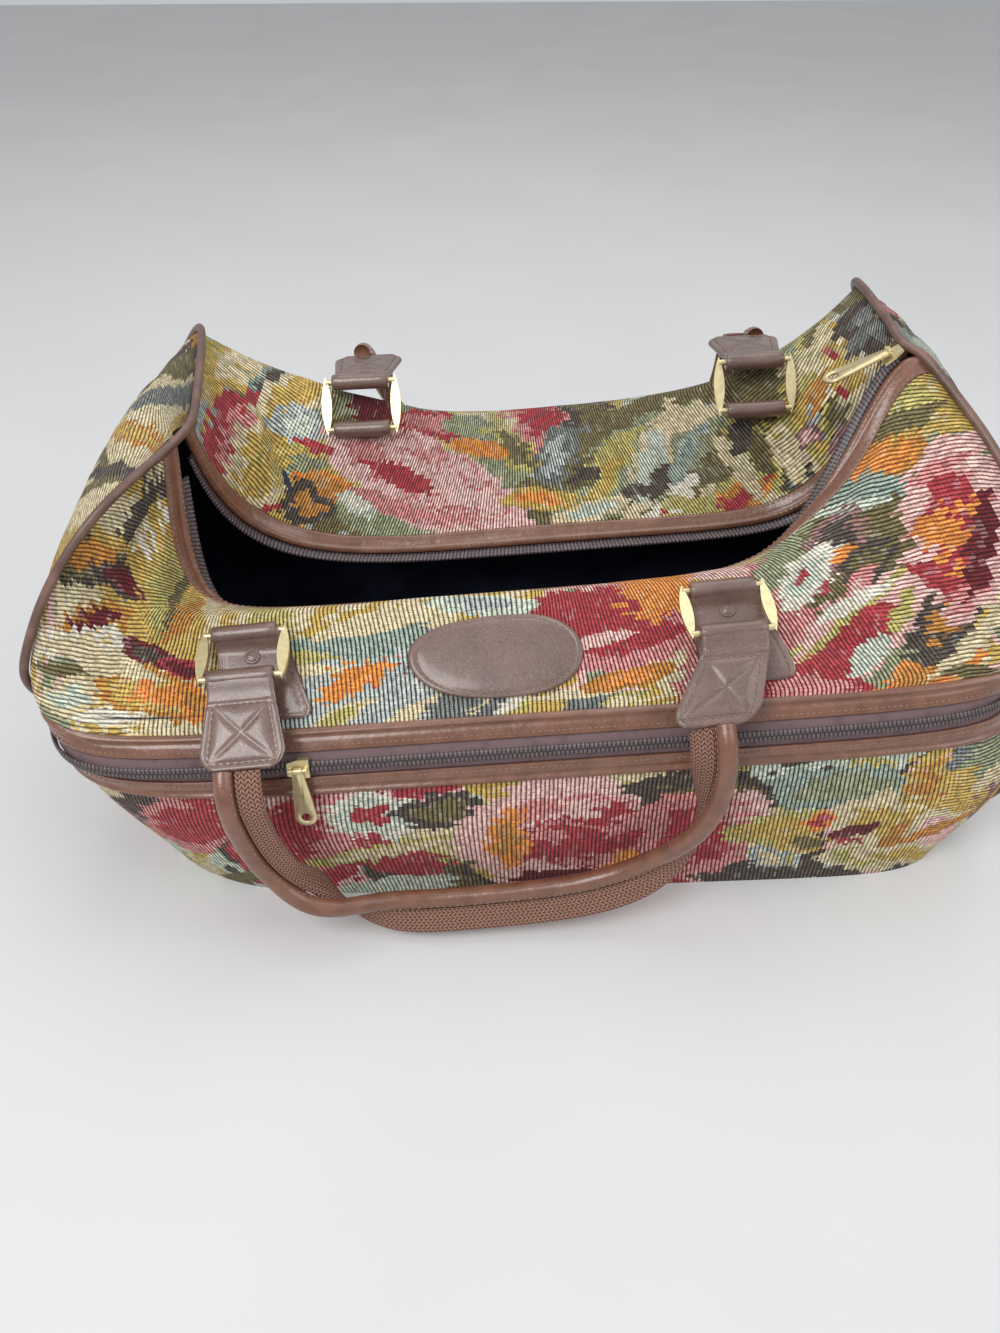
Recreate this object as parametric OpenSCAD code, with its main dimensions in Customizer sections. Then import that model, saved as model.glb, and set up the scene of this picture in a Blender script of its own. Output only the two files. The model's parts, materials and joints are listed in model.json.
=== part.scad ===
// Soft tapestry weekend bag with an open mouth zip, a closed expansion zip
// round its lower half and two drop handles on brass rings.
// The origin is the middle of the base on the floor: +X along the bag, +Y to the back, +Z up.

/* [Bag] */
// Length of the bag over its end panels
bag_l = 552; // [500:1:620]
// Depth of the bag at the expansion zip
bag_d = 260; // [220:1:300]
// Height of the bag at its taller end
bag_h = 288; // [260:1:310]
// Thickness of the tapestry walls
wall = 2; // [1.5:0.1:3]
// Thickness of the lining
lining_t = 0.5; // [0.4:0.1:1]
// Thickness of the flat base
base_t = 3; // [2:0.1:5]
// Outward bulge of the end panels
end_bulge = 15; // [6:0.5:20]
// Clearance between sewn pieces
seam_gap = 0.3; // [0.2:0.05:0.5]

/* [Edges] */
// Diameter of the piping on the end seams
piping_d = 5; // [3:0.1:7]
// Width of the binding along the mouth
mouth_band_w = 12; // [8:0.5:15]
// Width of the bands along the expansion zip
zip_band_w = 13; // [9:0.5:16]
// How far the bands stand proud of the tapestry
band_proud = 0.5; // [0.3:0.1:1]

/* [Zips] */
// Width of the bare tape beside each zip chain
tape_w = 5; // [3:0.5:7]
// Width of the closed zip chain
chain_w = 6.4; // [5:0.1:8]
// Thickness of the zip chain
chain_t = 2.6; // [2:0.1:3.4]
// Thickness of the zip tape
tape_t = 0.6; // [0.4:0.1:0.8]
// Depth of the tape below the tapestry's face
tape_sink = 0.8; // [0.6:0.1:1]
// Clearance between a slider and the chain
slide_gap = 0.45; // [0.3:0.05:0.6]
// Length of a slider body
slider_l = 12; // [9:0.5:15]
// Width of a slider body
slider_w = 10.5; // [9.5:0.5:13]
// Thickness of a slider's top plate
slider_t = 1.4; // [1:0.1:2]
// Length of a zip pull
pull_l = 38; // [28:1:44]
// Width of a zip pull
pull_w = 12; // [9:0.5:15]
// Thickness of a zip pull
pull_t = 1.6; // [1.2:0.1:2.2]
// Diameter of the wire that a zip pull hangs on
wire_d = 1.8; // [1.4:0.1:2.2]
// Lean of the hanging pull towards the bag, in degrees
pull_lean = 8; // [0:1:12]
// How far the mouth slider stands inside the end of the mouth
mouth_slider_inset = 4; // [2:0.5:8]
// Height of the mouth slider above the ends of the open chains
mouth_slider_lift = 3.6; // [3:0.1:6]
// Fall of the mouth pull below level, in degrees
mouth_pull_fall = 25; // [10:1:40]

/* [Rings] */
// Distance between the two bars of a ring
ring_pitch = 30; // [24:0.5:36]
// Diameter of a ring's bars
bar_d = 3.6; // [3:0.1:4.5]
// Thickness of a ring's side plates
plate_t = 2.4; // [1.8:0.1:3]
// Width of a ring's side plates at their middle
plate_w = 6.5; // [5:0.1:8]
// Length of the leather loops round the bars
loop_l = 36; // [28:1:42]
// Outer diameter of the leather loops
loop_d = 10; // [8:0.1:12]
// Radial clearance of a bar in its loop
bar_gap = 0.06; // [0.03:0.01:0.1]
// Room between a loop and a side plate
side_gap = 1; // [0.6:0.1:2]

/* [Handles] */
// Length of the sewn front patches below their loops
patch_l = 44; // [36:1:50]
// Length of the feet below the back loops
foot_l = 9; // [7:0.5:12]
// Height of the left foot above the cloth
left_foot_h = 8; // [5:0.5:14]
// Height of the right foot above the cloth
right_foot_h = 14; // [10:0.5:18]
// Width of a patch at its lower edge
patch_w = 51; // [42:1:58]
// Thickness of the patch leather
patch_t = 1.8; // [1.4:0.1:2.4]
// Diameter of the rivet caps
rivet_d = 9; // [6:0.5:11]
// Length of the handle tabs below their loops
tab_l = 51; // [46:1:58]
// Width of a handle tab at its lower edge
tab_w = 45; // [39:1:50]
// Thickness of a handle tab
tab_t = 4; // [3:0.1:5]
// How far the end of the right front tab stands to the right of its loop
front_tab_lean = -18; // [-22:1:0]
// Drop of a handle, measured along it from its rings
handle_drop = 172; // [150:1:175]
// Radius of the bend where the handle turns down
bend_r = 28; // [18:1:40]
// How far each leg of the handle stands outside its ring's middle
leg_spread = 4; // [0:0.5:5]
// Diameter of the leather grip roll
grip_d = 11; // [9:0.5:13]
// Width of the handle webbing
webbing_w = 14; // [10:0.5:18]
// Thickness of the folded webbing
webbing_t = 4; // [3:0.1:5]
// Fall of the front rings below level
front_ring_fall = 14; // [8:1:20]
// Fall of the front handle tabs below level
front_tab_fall = 35; // [30:1:50]
// Rise of the back rings above level
back_ring_rise = 54; // [50:1:60]
// Fall of the back handle tabs below level
back_tab_fall = 6; // [2:1:20]
// Turn of the strap at its first tab, along its bottom and at its second tab, in degrees
twist_start = 180; // [150:1:200]
twist_bottom = -40; // [-60:1:0]
twist_end = 150; // [120:1:180]

/* [Badge] */
// Length of the oval badge
badge_l = 110; // [90:1:120]
// Height of the oval badge
badge_w = 51; // [42:1:56]
// Thickness of the badge
badge_t = 2; // [1.5:0.1:3]

/* [Hidden] */
$fn = 48;

half_l = bag_l / 2;
half_d = bag_d / 2;

// Rows of the cloth, from the base up to the mouth. Each row gives y and z at the middle of the bag,
// then x, y, z, run, rise and crest at its left end and at its right end, with the places as shares
// of half the length, half the depth and the height. Run is the power with which a row runs out
// to its end, rise the power with which it climbs there, and crest flattens the end of that climb.
front_shares = [
    [-0.985, 0, -0.930, -0.12, 0, 1.5, 4.0, 1, 0.970, -0.62, 0, 1.6, 7.0, 1],
    [-1.020, 0.210, -1.000, -0.30, 0.200, 1.6, 4.0, 1, 1.040, -0.83, 0.215, 1.4, 7.0, 1],
    [-0.990, 0.420, -1.010, -0.58, 0.390, 1.6, 6.0, 1, 0.990, -0.68, 0.435, 1.5, 6.0, 1],
    [-0.860, 0.495, -1.000, -0.69, 0.550, 1.7, 5.5, 1, 1.010, -0.75, 0.590, 1.4, 5.0, 1],
    [-0.630, 0.570, -0.910, -0.62, 0.722, 2.0, 4.5, 1, 0.965, -0.65, 0.750, 1.2, 4.5, 1],
    [-0.450, 0.612, -0.810, -0.47, 0.837, 2.5, 4.0, 1, 0.890, -0.30, 0.870, 1.1, 5.0, 2],
    [-0.390, 0.612, -0.740, -0.28, 0.868, 2.8, 4.0, 1, 0.830, -0.04, 0.938, 1.1, 5.5, 2.8],
    [-0.315, 0.540, -0.690, -0.08, 0.890, 3.0, 4.0, 1, 0.780, 0.11, 0.986, 1.1, 6.0, 3.3]
];
back_shares = [
    [0.985, 0, -0.935, 0.46, 0, 1.6, 6.0, 1, 0.960, 0.54, 0, 1.6, 6.0, 1],
    [1.020, 0.210, -0.985, 0.65, 0.210, 1.6, 6.0, 1, 1.000, 0.70, 0.210, 1.6, 6.0, 1],
    [0.985, 0.420, -0.980, 0.81, 0.410, 1.6, 6.0, 1, 0.970, 0.81, 0.435, 1.5, 6.0, 1],
    [1.030, 0.555, -0.950, 0.91, 0.573, 1.5, 5.0, 1, 0.970, 0.91, 0.610, 1.4, 5.0, 1],
    [0.940, 0.667, -0.850, 0.94, 0.747, 1.3, 3.0, 1, 0.870, 0.95, 0.816, 1.3, 4.5, 1],
    [0.770, 0.715, -0.735, 0.88, 0.910, 1.0, 1.65, 1, 0.770, 0.83, 0.997, 1.0, 4.0, 1],
    [0.460, 0.620, -0.680, 0.46, 0.896, 1.5, 2.5, 1, 0.745, 0.46, 1.010, 1.6, 5.0, 1.8],
    [0.190, 0.517, -0.690, -0.08, 0.890, 2.0, 3.0, 1, 0.780, 0.11, 0.986, 2.0, 6.0, 2.5]
];
// Rise of the cloth from left to right along the bag
tilt_share = 0.12;
// Share of the end panels' bulge in each row
bulge_shares = [0.5, 0.5, 0.4, 0.8, 1, 0.8, 0.6, 0];
BASE = 0;
MIDDLE = 1;
ZIP = 2;
SHOULDER = [3, 4, 5];
LIP = 6;
MOUTH = 7;

// Steps along a side, along an end and up each stretch of a wall
side_steps = 28;
end_steps = 6;
rise_steps = 2;
lower_steps = 4;

tape_half = chain_w / 2 + tape_w;
mouth_lip = mouth_band_w + tape_w;
half_chain = chain_w / 2;

function mix(a, b, k) = a + (b - a) * k;
function unit(v) = v / norm(v);
function hump(k) = 4 * k * (1 - k);

// Point of row k at t, from -1 at the left end to 1 at the right end
function row_point(shares, k, t) =
    let (
        row = shares[k],
        reach = abs(t),
        o = t < 0 ? 2 : 8,
        climb = 1 - (1 - reach ^ row[o + 4]) ^ row[o + 5],
        x = half_l * row[o] * (1 - (1 - reach) ^ row[o + 3])
    )
    [
        x,
        half_d * mix(row[0], row[o + 1], climb),
        bag_h * mix(row[1], row[o + 2], climb) + tilt_share * x * (1 - climb) * row[1]
    ];

// Point of row k on an end panel, w from 0 at the front to 1 at the back
function end_point(k, end, w) =
    mix(row_point(front_shares, k, end), row_point(back_shares, k, end), w)
    + [end * end_bulge * bulge_shares[k] * hump(w), 0, 0];

// Point of row k at g, once round the bag: front, right end, back, left end
function loop_point(k, g) =
    g <= 1 ? row_point(front_shares, k, 2 * g - 1)
    : g < 2 ? end_point(k, 1, g - 1)
    : g <= 3 ? row_point(back_shares, k, 5 - 2 * g)
    : end_point(k, -1, 4 - g);

function towards(a, b, d) = a + d * unit(b - a);
function upper_edge(g) = towards(loop_point(ZIP, g), loop_point(SHOULDER[0], g), tape_half + zip_band_w);
function lower_edge(g) = towards(loop_point(ZIP, g), loop_point(MIDDLE, g), tape_half + zip_band_w);
function upper_tape(g) = towards(loop_point(ZIP, g), loop_point(SHOULDER[0], g), tape_half);
function lower_tape(g) = towards(loop_point(ZIP, g), loop_point(MIDDLE, g), tape_half);
function lip_edge(g) = towards(loop_point(MOUTH, g), loop_point(LIP, g), mouth_lip);
function lip_tape(g) = towards(loop_point(MOUTH, g), loop_point(LIP, g), tape_w);

// Smooth curve through a list of points, v counted in spans
function spline(points, v) =
    let (
        last = len(points) - 1,
        i = min(floor(v), last - 1),
        k = v - i,
        p0 = points[max(i - 1, 0)],
        p1 = points[i],
        p2 = points[i + 1],
        p3 = points[min(i + 2, last)]
    )
    p1 + (p2 - p0) * k / 2 + (2 * p0 - 5 * p1 + 4 * p2 - p3) * k ^ 2 / 2
    + (3 * p1 - p0 - 3 * p2 + p3) * k ^ 3 / 2;

function upper_knots(g) =
    concat([upper_edge(g)], [for (k = SHOULDER) loop_point(k, g)], [lip_edge(g)]);
upper_spans = len(SHOULDER) + 1;
function upper_point(g, v) = spline(upper_knots(g), v);
function lower_point(g, v) = spline([loop_point(BASE, g), loop_point(MIDDLE, g), lower_edge(g)], v);

front_gs = [for (i = [0 : side_steps]) i / side_steps];
right_gs = [for (i = [0 : end_steps]) 1 + i / end_steps];
back_gs = [for (g = front_gs) 2 + g];
left_gs = [for (g = right_gs) 2 + g];
round_gs = [
    for (gs = [front_gs, right_gs, back_gs, left_gs])
        for (i = [0 : len(gs) - 2]) gs[i]
];
upper_vs = [for (i = [0 : upper_spans * rise_steps]) i / rise_steps];
lower_vs = [for (i = [0 : lower_steps]) 2 * i / lower_steps];

// The whole wall as one grid: columns once round the bag, rows from the base to the mouth
function column(g) = concat(
    [for (v = lower_vs) lower_point(g, v)],
    [lower_tape(g), loop_point(ZIP, g), upper_tape(g)],
    [for (v = upper_vs) upper_point(g, v)],
    [lip_tape(g)]
);
columns = [for (g = round_gs) column(g)];
round_n = len(round_gs);
LOWER_EDGE = len(lower_vs) - 1;
LOWER_TAPE = LOWER_EDGE + 1;
ZIP_LINE = LOWER_TAPE + 1;
UPPER_TAPE = ZIP_LINE + 1;
UPPER_EDGE = UPPER_TAPE + 1;
LIP_EDGE = UPPER_EDGE + len(upper_vs) - 1;
LIP_TAPE = LIP_EDGE + 1;

// Outward normal of the wall at row i of column j; level along the base
function column_normal(i, j) =
    let (
        along = columns[(j + 1) % round_n][i] - columns[(j + round_n - 1) % round_n][i],
        up = columns[j][min(i + 1, LIP_TAPE)] - columns[j][max(i - 1, 0)],
        n = cross(along, up)
    )
    unit(i == 0 ? [n.x, n.y, 0] : n);
normals = [for (j = [0 : round_n - 1]) [for (i = [0 : LIP_TAPE]) column_normal(i, j)]];
function wall_point(i, j, d) = columns[j % round_n][i] - d * normals[j % round_n][i];
// Points of the wall on the given rows and columns, sunk by d below its outer face
function block(rows, cols, d) = [for (i = rows) [for (j = cols) wall_point(i, j, d)]];

front_cols = [for (j = [0 : side_steps]) j];
right_cols = [for (j = [0 : end_steps]) side_steps + j];
back_cols = [for (j = [0 : side_steps]) side_steps + end_steps + j];
left_cols = [for (j = [0 : end_steps]) 2 * side_steps + end_steps + j];
round_cols = [for (j = [0 : round_n - 1]) j];
lower_rows = [for (i = [0 : LOWER_EDGE]) i];
upper_rows = [for (i = [UPPER_EDGE : LIP_EDGE]) i];

// Outward normals of the wall at any place on it
nudge_share = 0.01;
function upper_normal(g, v) = unit(cross(
    upper_point(g + nudge_share, v) - upper_point(g - nudge_share, v),
    upper_point(g, v + nudge_share) - upper_point(g, v - nudge_share)
));
function lower_normal(g, v) = unit(cross(
    lower_point(g + nudge_share, v) - lower_point(g - nudge_share, v),
    lower_point(g, v + nudge_share) - lower_point(g, v - nudge_share)
));
function zip_normal(g) = unit(cross(
    loop_point(ZIP, g + nudge_share) - loop_point(ZIP, g - nudge_share),
    upper_tape(g) - lower_tape(g)
));
function lip_normal(g) = unit(cross(
    lip_tape(g + nudge_share) - lip_tape(g - nudge_share),
    loop_point(MOUTH, g) - lip_tape(g)
));
function flat_list(rows) = [for (row = rows) for (p = row) p];

// Closed solid between an outer grid and an inner grid of points
module shell(outer, inner, closed = false) {
    n = len(outer);
    m = len(outer[0]);
    inside = n * m;
    across = closed ? m : m - 1;
    outer_faces = [
        for (i = [0 : n - 2])
            for (j = [0 : across - 1])
                let (a = i * m + j, b = i * m + (j + 1) % m, c = b + m, d = a + m)
                each [[a, c, b], [a, d, c]]
    ];
    inner_faces = [for (f = outer_faces) [f[0] + inside, f[2] + inside, f[1] + inside]];
    edge_faces = [
        for (j = [0 : across - 1])
            let (a = j, b = (j + 1) % m, c = (n - 1) * m + j, d = (n - 1) * m + (j + 1) % m)
            each [
                [a, b, b + inside], [a, b + inside, a + inside],
                [d, c, c + inside], [d, c + inside, d + inside]
            ]
    ];
    side_faces = closed ? [] : [
        for (i = [0 : n - 2])
            let (a = i * m, b = a + m, c = a + m - 1, d = c + m)
            each [
                [b, a, a + inside], [b, a + inside, b + inside],
                [c, d, d + inside], [c, d + inside, c + inside]
            ]
    ];
    polyhedron(
        concat(flat_list(outer), flat_list(inner)),
        concat(outer_faces, inner_faces, edge_faces, side_faces),
        convexity = 6
    );
}

// Solid swept through a list of rings of points
module swept(rings, closed = false) {
    n = len(rings);
    m = len(rings[0]);
    along = closed ? n : n - 1;
    skin = [
        for (i = [0 : along - 1])
            for (j = [0 : m - 1])
                let (a = i * m + j, b = i * m + (j + 1) % m, c = (i + 1) % n * m + (j + 1) % m, d = (i + 1) % n * m + j)
                each [[a, c, b], [a, d, c]]
    ];
    caps = closed ? [] : [[for (j = [0 : m - 1]) j], [for (j = [m - 1 : -1 : 0]) (n - 1) * m + j]];
    polyhedron(flat_list(rings), concat(skin, caps), convexity = 6);
}

function round_section(d, sides) =
    [for (i = [0 : sides - 1]) d / 2 * [cos(360 * i / sides), sin(360 * i / sides)]];
function oval_section(w, t, sides) =
    [for (i = [0 : sides - 1]) [w / 2 * cos(360 * i / sides), t / 2 * sin(360 * i / sides)]];
function placed(section, p, a, b) = [for (s = section) p + s[0] * a + s[1] * b];
function along_path(path, i) =
    let (n = len(path))
    unit(path[min(i + 1, n - 1)] - path[max(i - 1, 0)]);
// Rings of a section along a path, with its second axis near the given normals
function path_rings(path, outs, section) = [
    for (i = [0 : len(path) - 1])
        let (
            along = along_path(path, i),
            side = unit(cross(outs[i], along))
        )
        placed(section, path[i], side, cross(along, side))
];

tapestry_colour = "#b08a52";
vinyl_colour = "#7a5138";
leather_colour = "#6b4a3c";
brass_colour = "#c9ad74";
tape_colour = "#6a5a5c";
webbing_colour = "#7d4b3f";

module front_panel() {
    color(tapestry_colour) shell(block(upper_rows, front_cols, 0), block(upper_rows, front_cols, wall));
}

module back_panel() {
    color(tapestry_colour) shell(block(upper_rows, back_cols, 0), block(upper_rows, back_cols, wall));
}

// An end panel runs on between the mouth bands to the end of the mouth
end_rows = concat(upper_rows, [LIP_TAPE]);
module left_end_panel() {
    color(tapestry_colour) shell(block(end_rows, left_cols, 0), block(end_rows, left_cols, wall));
}

module right_end_panel() {
    color(tapestry_colour) shell(block(end_rows, right_cols, 0), block(end_rows, right_cols, wall));
}

module base_band() {
    color(tapestry_colour)
        shell(block(lower_rows, round_cols, 0), block(lower_rows, round_cols, wall), closed = true);
}

// The flat base lies inside the lower edge of the band
base_outline = [for (j = round_cols) let (p = wall_point(0, j, wall + seam_gap)) [p.x, p.y]];
module base_panel() {
    color(tapestry_colour) linear_extrude(base_t) polygon(base_outline);
}

// The lining hangs inside the walls from the mouth bands down to the base
lining_rows = [for (i = [1 : LIP_EDGE]) i];
module lining() {
    color("#15161d")
        shell(block(lining_rows, round_cols, wall), block(lining_rows, round_cols, wall + lining_t), closed = true);
}

// Piping on the seams of an end panel: up its front edge, over the end of the mouth and down its back edge
piping_sides = 8;
piping_lift = band_proud + seam_gap + piping_d / 2;
module piping(front_col, back_col) {
    up = [for (i = end_rows) normals[front_col][i]];
    down = [for (i = [len(end_rows) - 1 : -1 : 0]) normals[back_col][end_rows[i]]];
    path = concat(
        [for (i = end_rows) wall_point(i, front_col, -piping_lift)],
        [for (i = [len(end_rows) - 1 : -1 : 0]) wall_point(end_rows[i], back_col, -piping_lift)]
    );
    color(vinyl_colour) swept(path_rings(path, concat(up, down), round_section(piping_d, piping_sides)));
}

module left_piping() {
    piping(0, 2 * side_steps + end_steps);
}

module right_piping() {
    piping(side_steps, side_steps + end_steps);
}

// Short end of piping in the fold of the lower right corner
corner_steps = 4;
corner_shares = [0.55, 1.1];
module corner_piping() {
    vs = [for (i = [0 : corner_steps]) mix(corner_shares[0], corner_shares[1], i / corner_steps)];
    outs = [for (v = vs) lower_normal(1, v)];
    path = [for (i = [0 : corner_steps]) lower_point(1, vs[i]) + outs[i] * (seam_gap + piping_d / 2)];
    color(vinyl_colour) swept(path_rings(path, outs, round_section(piping_d, piping_sides)));
}

// Binding along one side of the mouth
mouth_rows = [LIP_EDGE, LIP_TAPE];
module front_mouth_band() {
    color(vinyl_colour) shell(block(mouth_rows, front_cols, -band_proud), block(mouth_rows, front_cols, wall));
}

module back_mouth_band() {
    color(vinyl_colour) shell(block(mouth_rows, back_cols, -band_proud), block(mouth_rows, back_cols, wall));
}

// Tape and half of the open chain along one side of the mouth, as a strip with a beaded edge
mouth_end_share = 0.97;
half_zip_section = let (x = half_chain / 2, y = chain_t / 2, t = tape_t / 2, w = tape_w - seam_gap) [
    [w, -t], [x, -t], [x / 2, -y], [-x / 2, -y], [-x, 0], [-x / 2, y], [x / 2, y], [x, t], [w, t]
];
module mouth_zip(gs) {
    first = gs[0];
    inset = [
        first + 1 - mouth_end_share,
        each [for (i = [1 : len(gs) - 2]) gs[i]],
        first + mouth_end_share
    ];
    rings = [
        for (g = inset)
            let (p = loop_point(MOUTH, g), n = lip_normal(g))
            placed(half_zip_section, p - n * (tape_sink + tape_t / 2), unit(lip_tape(g) - p), n)
    ];
    color(tape_colour) swept(rings);
}

module front_mouth_zip() {
    mouth_zip(front_gs);
}

module back_mouth_zip() {
    mouth_zip(back_gs);
}

upper_band_rows = [UPPER_TAPE, UPPER_EDGE];
module upper_zip_band() {
    color(vinyl_colour)
        shell(block(upper_band_rows, round_cols, -band_proud), block(upper_band_rows, round_cols, wall), closed = true);
}

lower_band_rows = [LOWER_EDGE, LOWER_TAPE];
module lower_zip_band() {
    color(vinyl_colour)
        shell(block(lower_band_rows, round_cols, -band_proud), block(lower_band_rows, round_cols, wall), closed = true);
}

tape_rows = [LOWER_TAPE, ZIP_LINE, UPPER_TAPE];
tape_back = tape_sink + tape_t;
module zip_tape() {
    color(tape_colour)
        shell(block(tape_rows, round_cols, tape_sink), block(tape_rows, round_cols, tape_back), closed = true);
}

// The chain of the expansion zip lies on the fold of its tape
chain_sides = 8;
chain_lift = chain_t / 2 + seam_gap - tape_sink;
function zip_across(g) = unit(upper_tape(g) - lower_tape(g));
function zip_centre(g) = loop_point(ZIP, g) + chain_lift * zip_normal(g);
module zip_chain() {
    rings = [
        for (j = round_cols)
            let (across = unit(columns[j][UPPER_TAPE] - columns[j][LOWER_TAPE]))
            placed(
                oval_section(chain_w, chain_t, chain_sides),
                wall_point(ZIP_LINE, j, -chain_lift),
                across,
                normals[j][ZIP_LINE]
            )
    ];
    color("#3a3032") swept(rings, closed = true);
}

// Slider: a plate over the chain and a wire on two posts that its pull hangs on.
// Its own frame has X along the chain, Y across it and Z away from the cloth.
slider_z = chain_t / 2 + slide_gap;
flange_t = (slider_w - chain_w) / 2 - slide_gap;
flange_foot = -chain_t / 2 - seam_gap / 2;
eye_wall = wire_d / 2;
eye_r = wire_d / 2 + bar_gap + eye_wall;
wire_z = slider_z + slider_t + eye_r + seam_gap;
post_t = wire_d;
nose_share = 0.7;
bail_l = min(slider_l, slider_w);
module slider(flanges, turn) {
    color(brass_colour) {
        translate([0, 0, slider_z]) linear_extrude(slider_t) polygon([
            for (e = [[-1, -nose_share], [0, -1], [1, -1], [1, 1], [0, 1], [-1, nose_share]])
                [e.x * slider_l, e.y * slider_w] / 2
        ]);
        if (flanges) {
            for (side = [0, 1]) mirror([0, side, 0])
                translate([0, slider_w / 2 - flange_t, flange_foot])
                    cube([slider_l / 2, flange_t, slider_z - flange_foot]);
        }
        rotate([0, 0, turn]) {
            for (side = [-1, 1])
                translate([side * (bail_l - post_t) / 2 - post_t / 2, -post_t / 2, slider_z])
                    cube([post_t, post_t, wire_z - slider_z]);
            translate([0, 0, wire_z]) along_x(wire_d, bail_l);
        }
    }
}

// Pull that hangs from its eye along -Z, with a round hole at its tip
eye_l = bail_l - 2 * post_t - 2 * side_gap;
pull_hole_share = 0.58;
module pull() {
    color(brass_colour) difference() {
        union() {
            along_x(2 * eye_r, eye_l);
            rotate([90, 0, 0]) translate([0, 0, -pull_t / 2]) linear_extrude(pull_t) {
                translate([-eye_l / 2, -pull_w / 2]) square([eye_l, pull_w / 2]);
                translate([-pull_w / 2, pull_w / 2 - pull_l]) square([pull_w, pull_l - 3 * pull_w / 4 - eye_r]);
                translate([0, pull_w / 2 - pull_l]) circle(d = pull_w);
            }
        }
        along_x(wire_d + 2 * bar_gap, 2 * slider_l);
        translate([0, 0, pull_w / 2 - pull_l]) rotate([90, 0, 0])
            cylinder(d = pull_w * pull_hole_share, h = 2 * pull_t, center = true);
    }
}

module frame_at(o, e, f, h) {
    multmatrix([
        [e.x, f.x, h.x, o.x],
        [e.y, f.y, h.y, o.y],
        [e.z, f.z, h.z, o.z],
        [0, 0, 0, 1]
    ]) children();
}
function level(along) = unit(cross([0, 0, 1], along));

// The expansion zip's slider stands on the straight front run, left of its middle
zip_slider_share = 0.335;
zip_run_shares = [0.33, 0.62];
zip_along = unit(zip_centre(zip_run_shares[1]) - zip_centre(zip_run_shares[0]));
zip_out = unit(cross(zip_along, zip_across(zip_slider_share)));
zip_seat = zip_centre(zip_slider_share);
module zip_slider() {
    frame_at(zip_seat, zip_along, cross(zip_out, zip_along), zip_out) slider(true, 0);
}

module zip_pull() {
    f = level(zip_along);
    frame_at(zip_seat + zip_out * wire_z, zip_along, f, cross(zip_along, f)) rotate([-pull_lean, 0, 0]) pull();
}

// The mouth slider is parked at the right end of the mouth, above the ends of the two open chains
mouth_top = loop_point(MOUTH, 1);
mouth_foot = mix(loop_point(MOUTH, mouth_end_share), loop_point(MOUTH, 3 - mouth_end_share), 1 / 2);
mouth_along = unit(mouth_foot - mouth_top);
mouth_axis = unit(cross(mouth_along, [0, 0, 1]));
mouth_out = cross(mouth_axis, mouth_along);
mouth_seat = mouth_foot + mouth_along * mouth_slider_inset + mouth_out * mouth_slider_lift;
module mouth_slider() {
    frame_at(mouth_seat, mouth_along, -mouth_axis, mouth_out) slider(false, 90);
}

module mouth_pull() {
    frame_at(mouth_seat + mouth_out * wire_z, mouth_axis, level(mouth_axis), [0, 0, 1])
        rotate([90 - mouth_pull_fall, 0, 0])
            pull();
}

// Room under the patches, so that they clear the creases of the cloth
patch_lift = seam_gap + band_proud;
// Where each handle's loops sit on the cloth: g round the bag and v up the wall, shares of their spans
front_loop_shares = [[0.3006, 2.405], [0.6835, 2.53]];
back_loop_shares = [[2.172, 3.42], [2.738, 3.31]];
function loop_seat(shares) = upper_point(shares[0], shares[1]);
function loop_centre(shares, h) = loop_seat(shares) + upper_normal(shares[0], shares[1]) * h;

// A handle's own frame: the middle of the line through its two patch loops,
// the direction of that line, the level direction into the bag, and up
front_loops = [for (s = front_loop_shares) loop_centre(s, patch_lift + loop_d / 2)];
back_loops = [
    loop_centre(back_loop_shares[0], patch_lift + right_foot_h),
    loop_centre(back_loop_shares[1], patch_lift + left_foot_h)
];
module in_frame(loops, at = 0) {
    e = unit(loops[1] - loops[0]);
    f = level(e);
    frame_at(mix(loops[0], loops[1], 1 / 2) + at * e, e, f, cross(e, f)) children();
}
function half_span(loops) = norm(loops[1] - loops[0]) / 2;

module along_x(d, l) {
    rotate([0, 90, 0]) cylinder(d = d, h = l, center = true);
}

bar_l = loop_l + 2 * side_gap + plate_w;
plate_x = (loop_l + plate_w) / 2 + side_gap;
plate_end = bar_d;
plate_half = ring_pitch / 2 + plate_end;
plate_r = (plate_half ^ 2 + (plate_w / 2) ^ 2) / plate_w;

rim_share = 1.4;

// Ring of two round bars between two lens-shaped side plates, running out along -Y
module ring() {
    color(brass_colour) {
        for (y = [0, -ring_pitch]) translate([0, y, 0]) along_x(bar_d, bar_l);
        for (side = [-1, 1]) translate([side * plate_x, 0, 0]) {
            intersection() {
                translate([plate_r - plate_w / 2, -ring_pitch / 2, 0])
                    cylinder(r = plate_r, h = plate_t, center = true);
                translate([plate_w / 2 - plate_r, -ring_pitch / 2, 0])
                    cylinder(r = plate_r, h = plate_t, center = true);
            }
        }
    }
}
module ring_at(loops, end, rise) {
    in_frame(loops, end * half_span(loops)) rotate([-rise, 0, 0]) ring();
}

module front_left_ring() {
    ring_at(front_loops, -1, -front_ring_fall);
}

module front_right_ring() {
    ring_at(front_loops, 1, -front_ring_fall);
}

module back_right_ring() {
    ring_at(back_loops, -1, back_ring_rise);
}

module back_left_ring() {
    ring_at(back_loops, 1, back_ring_rise);
}

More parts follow.
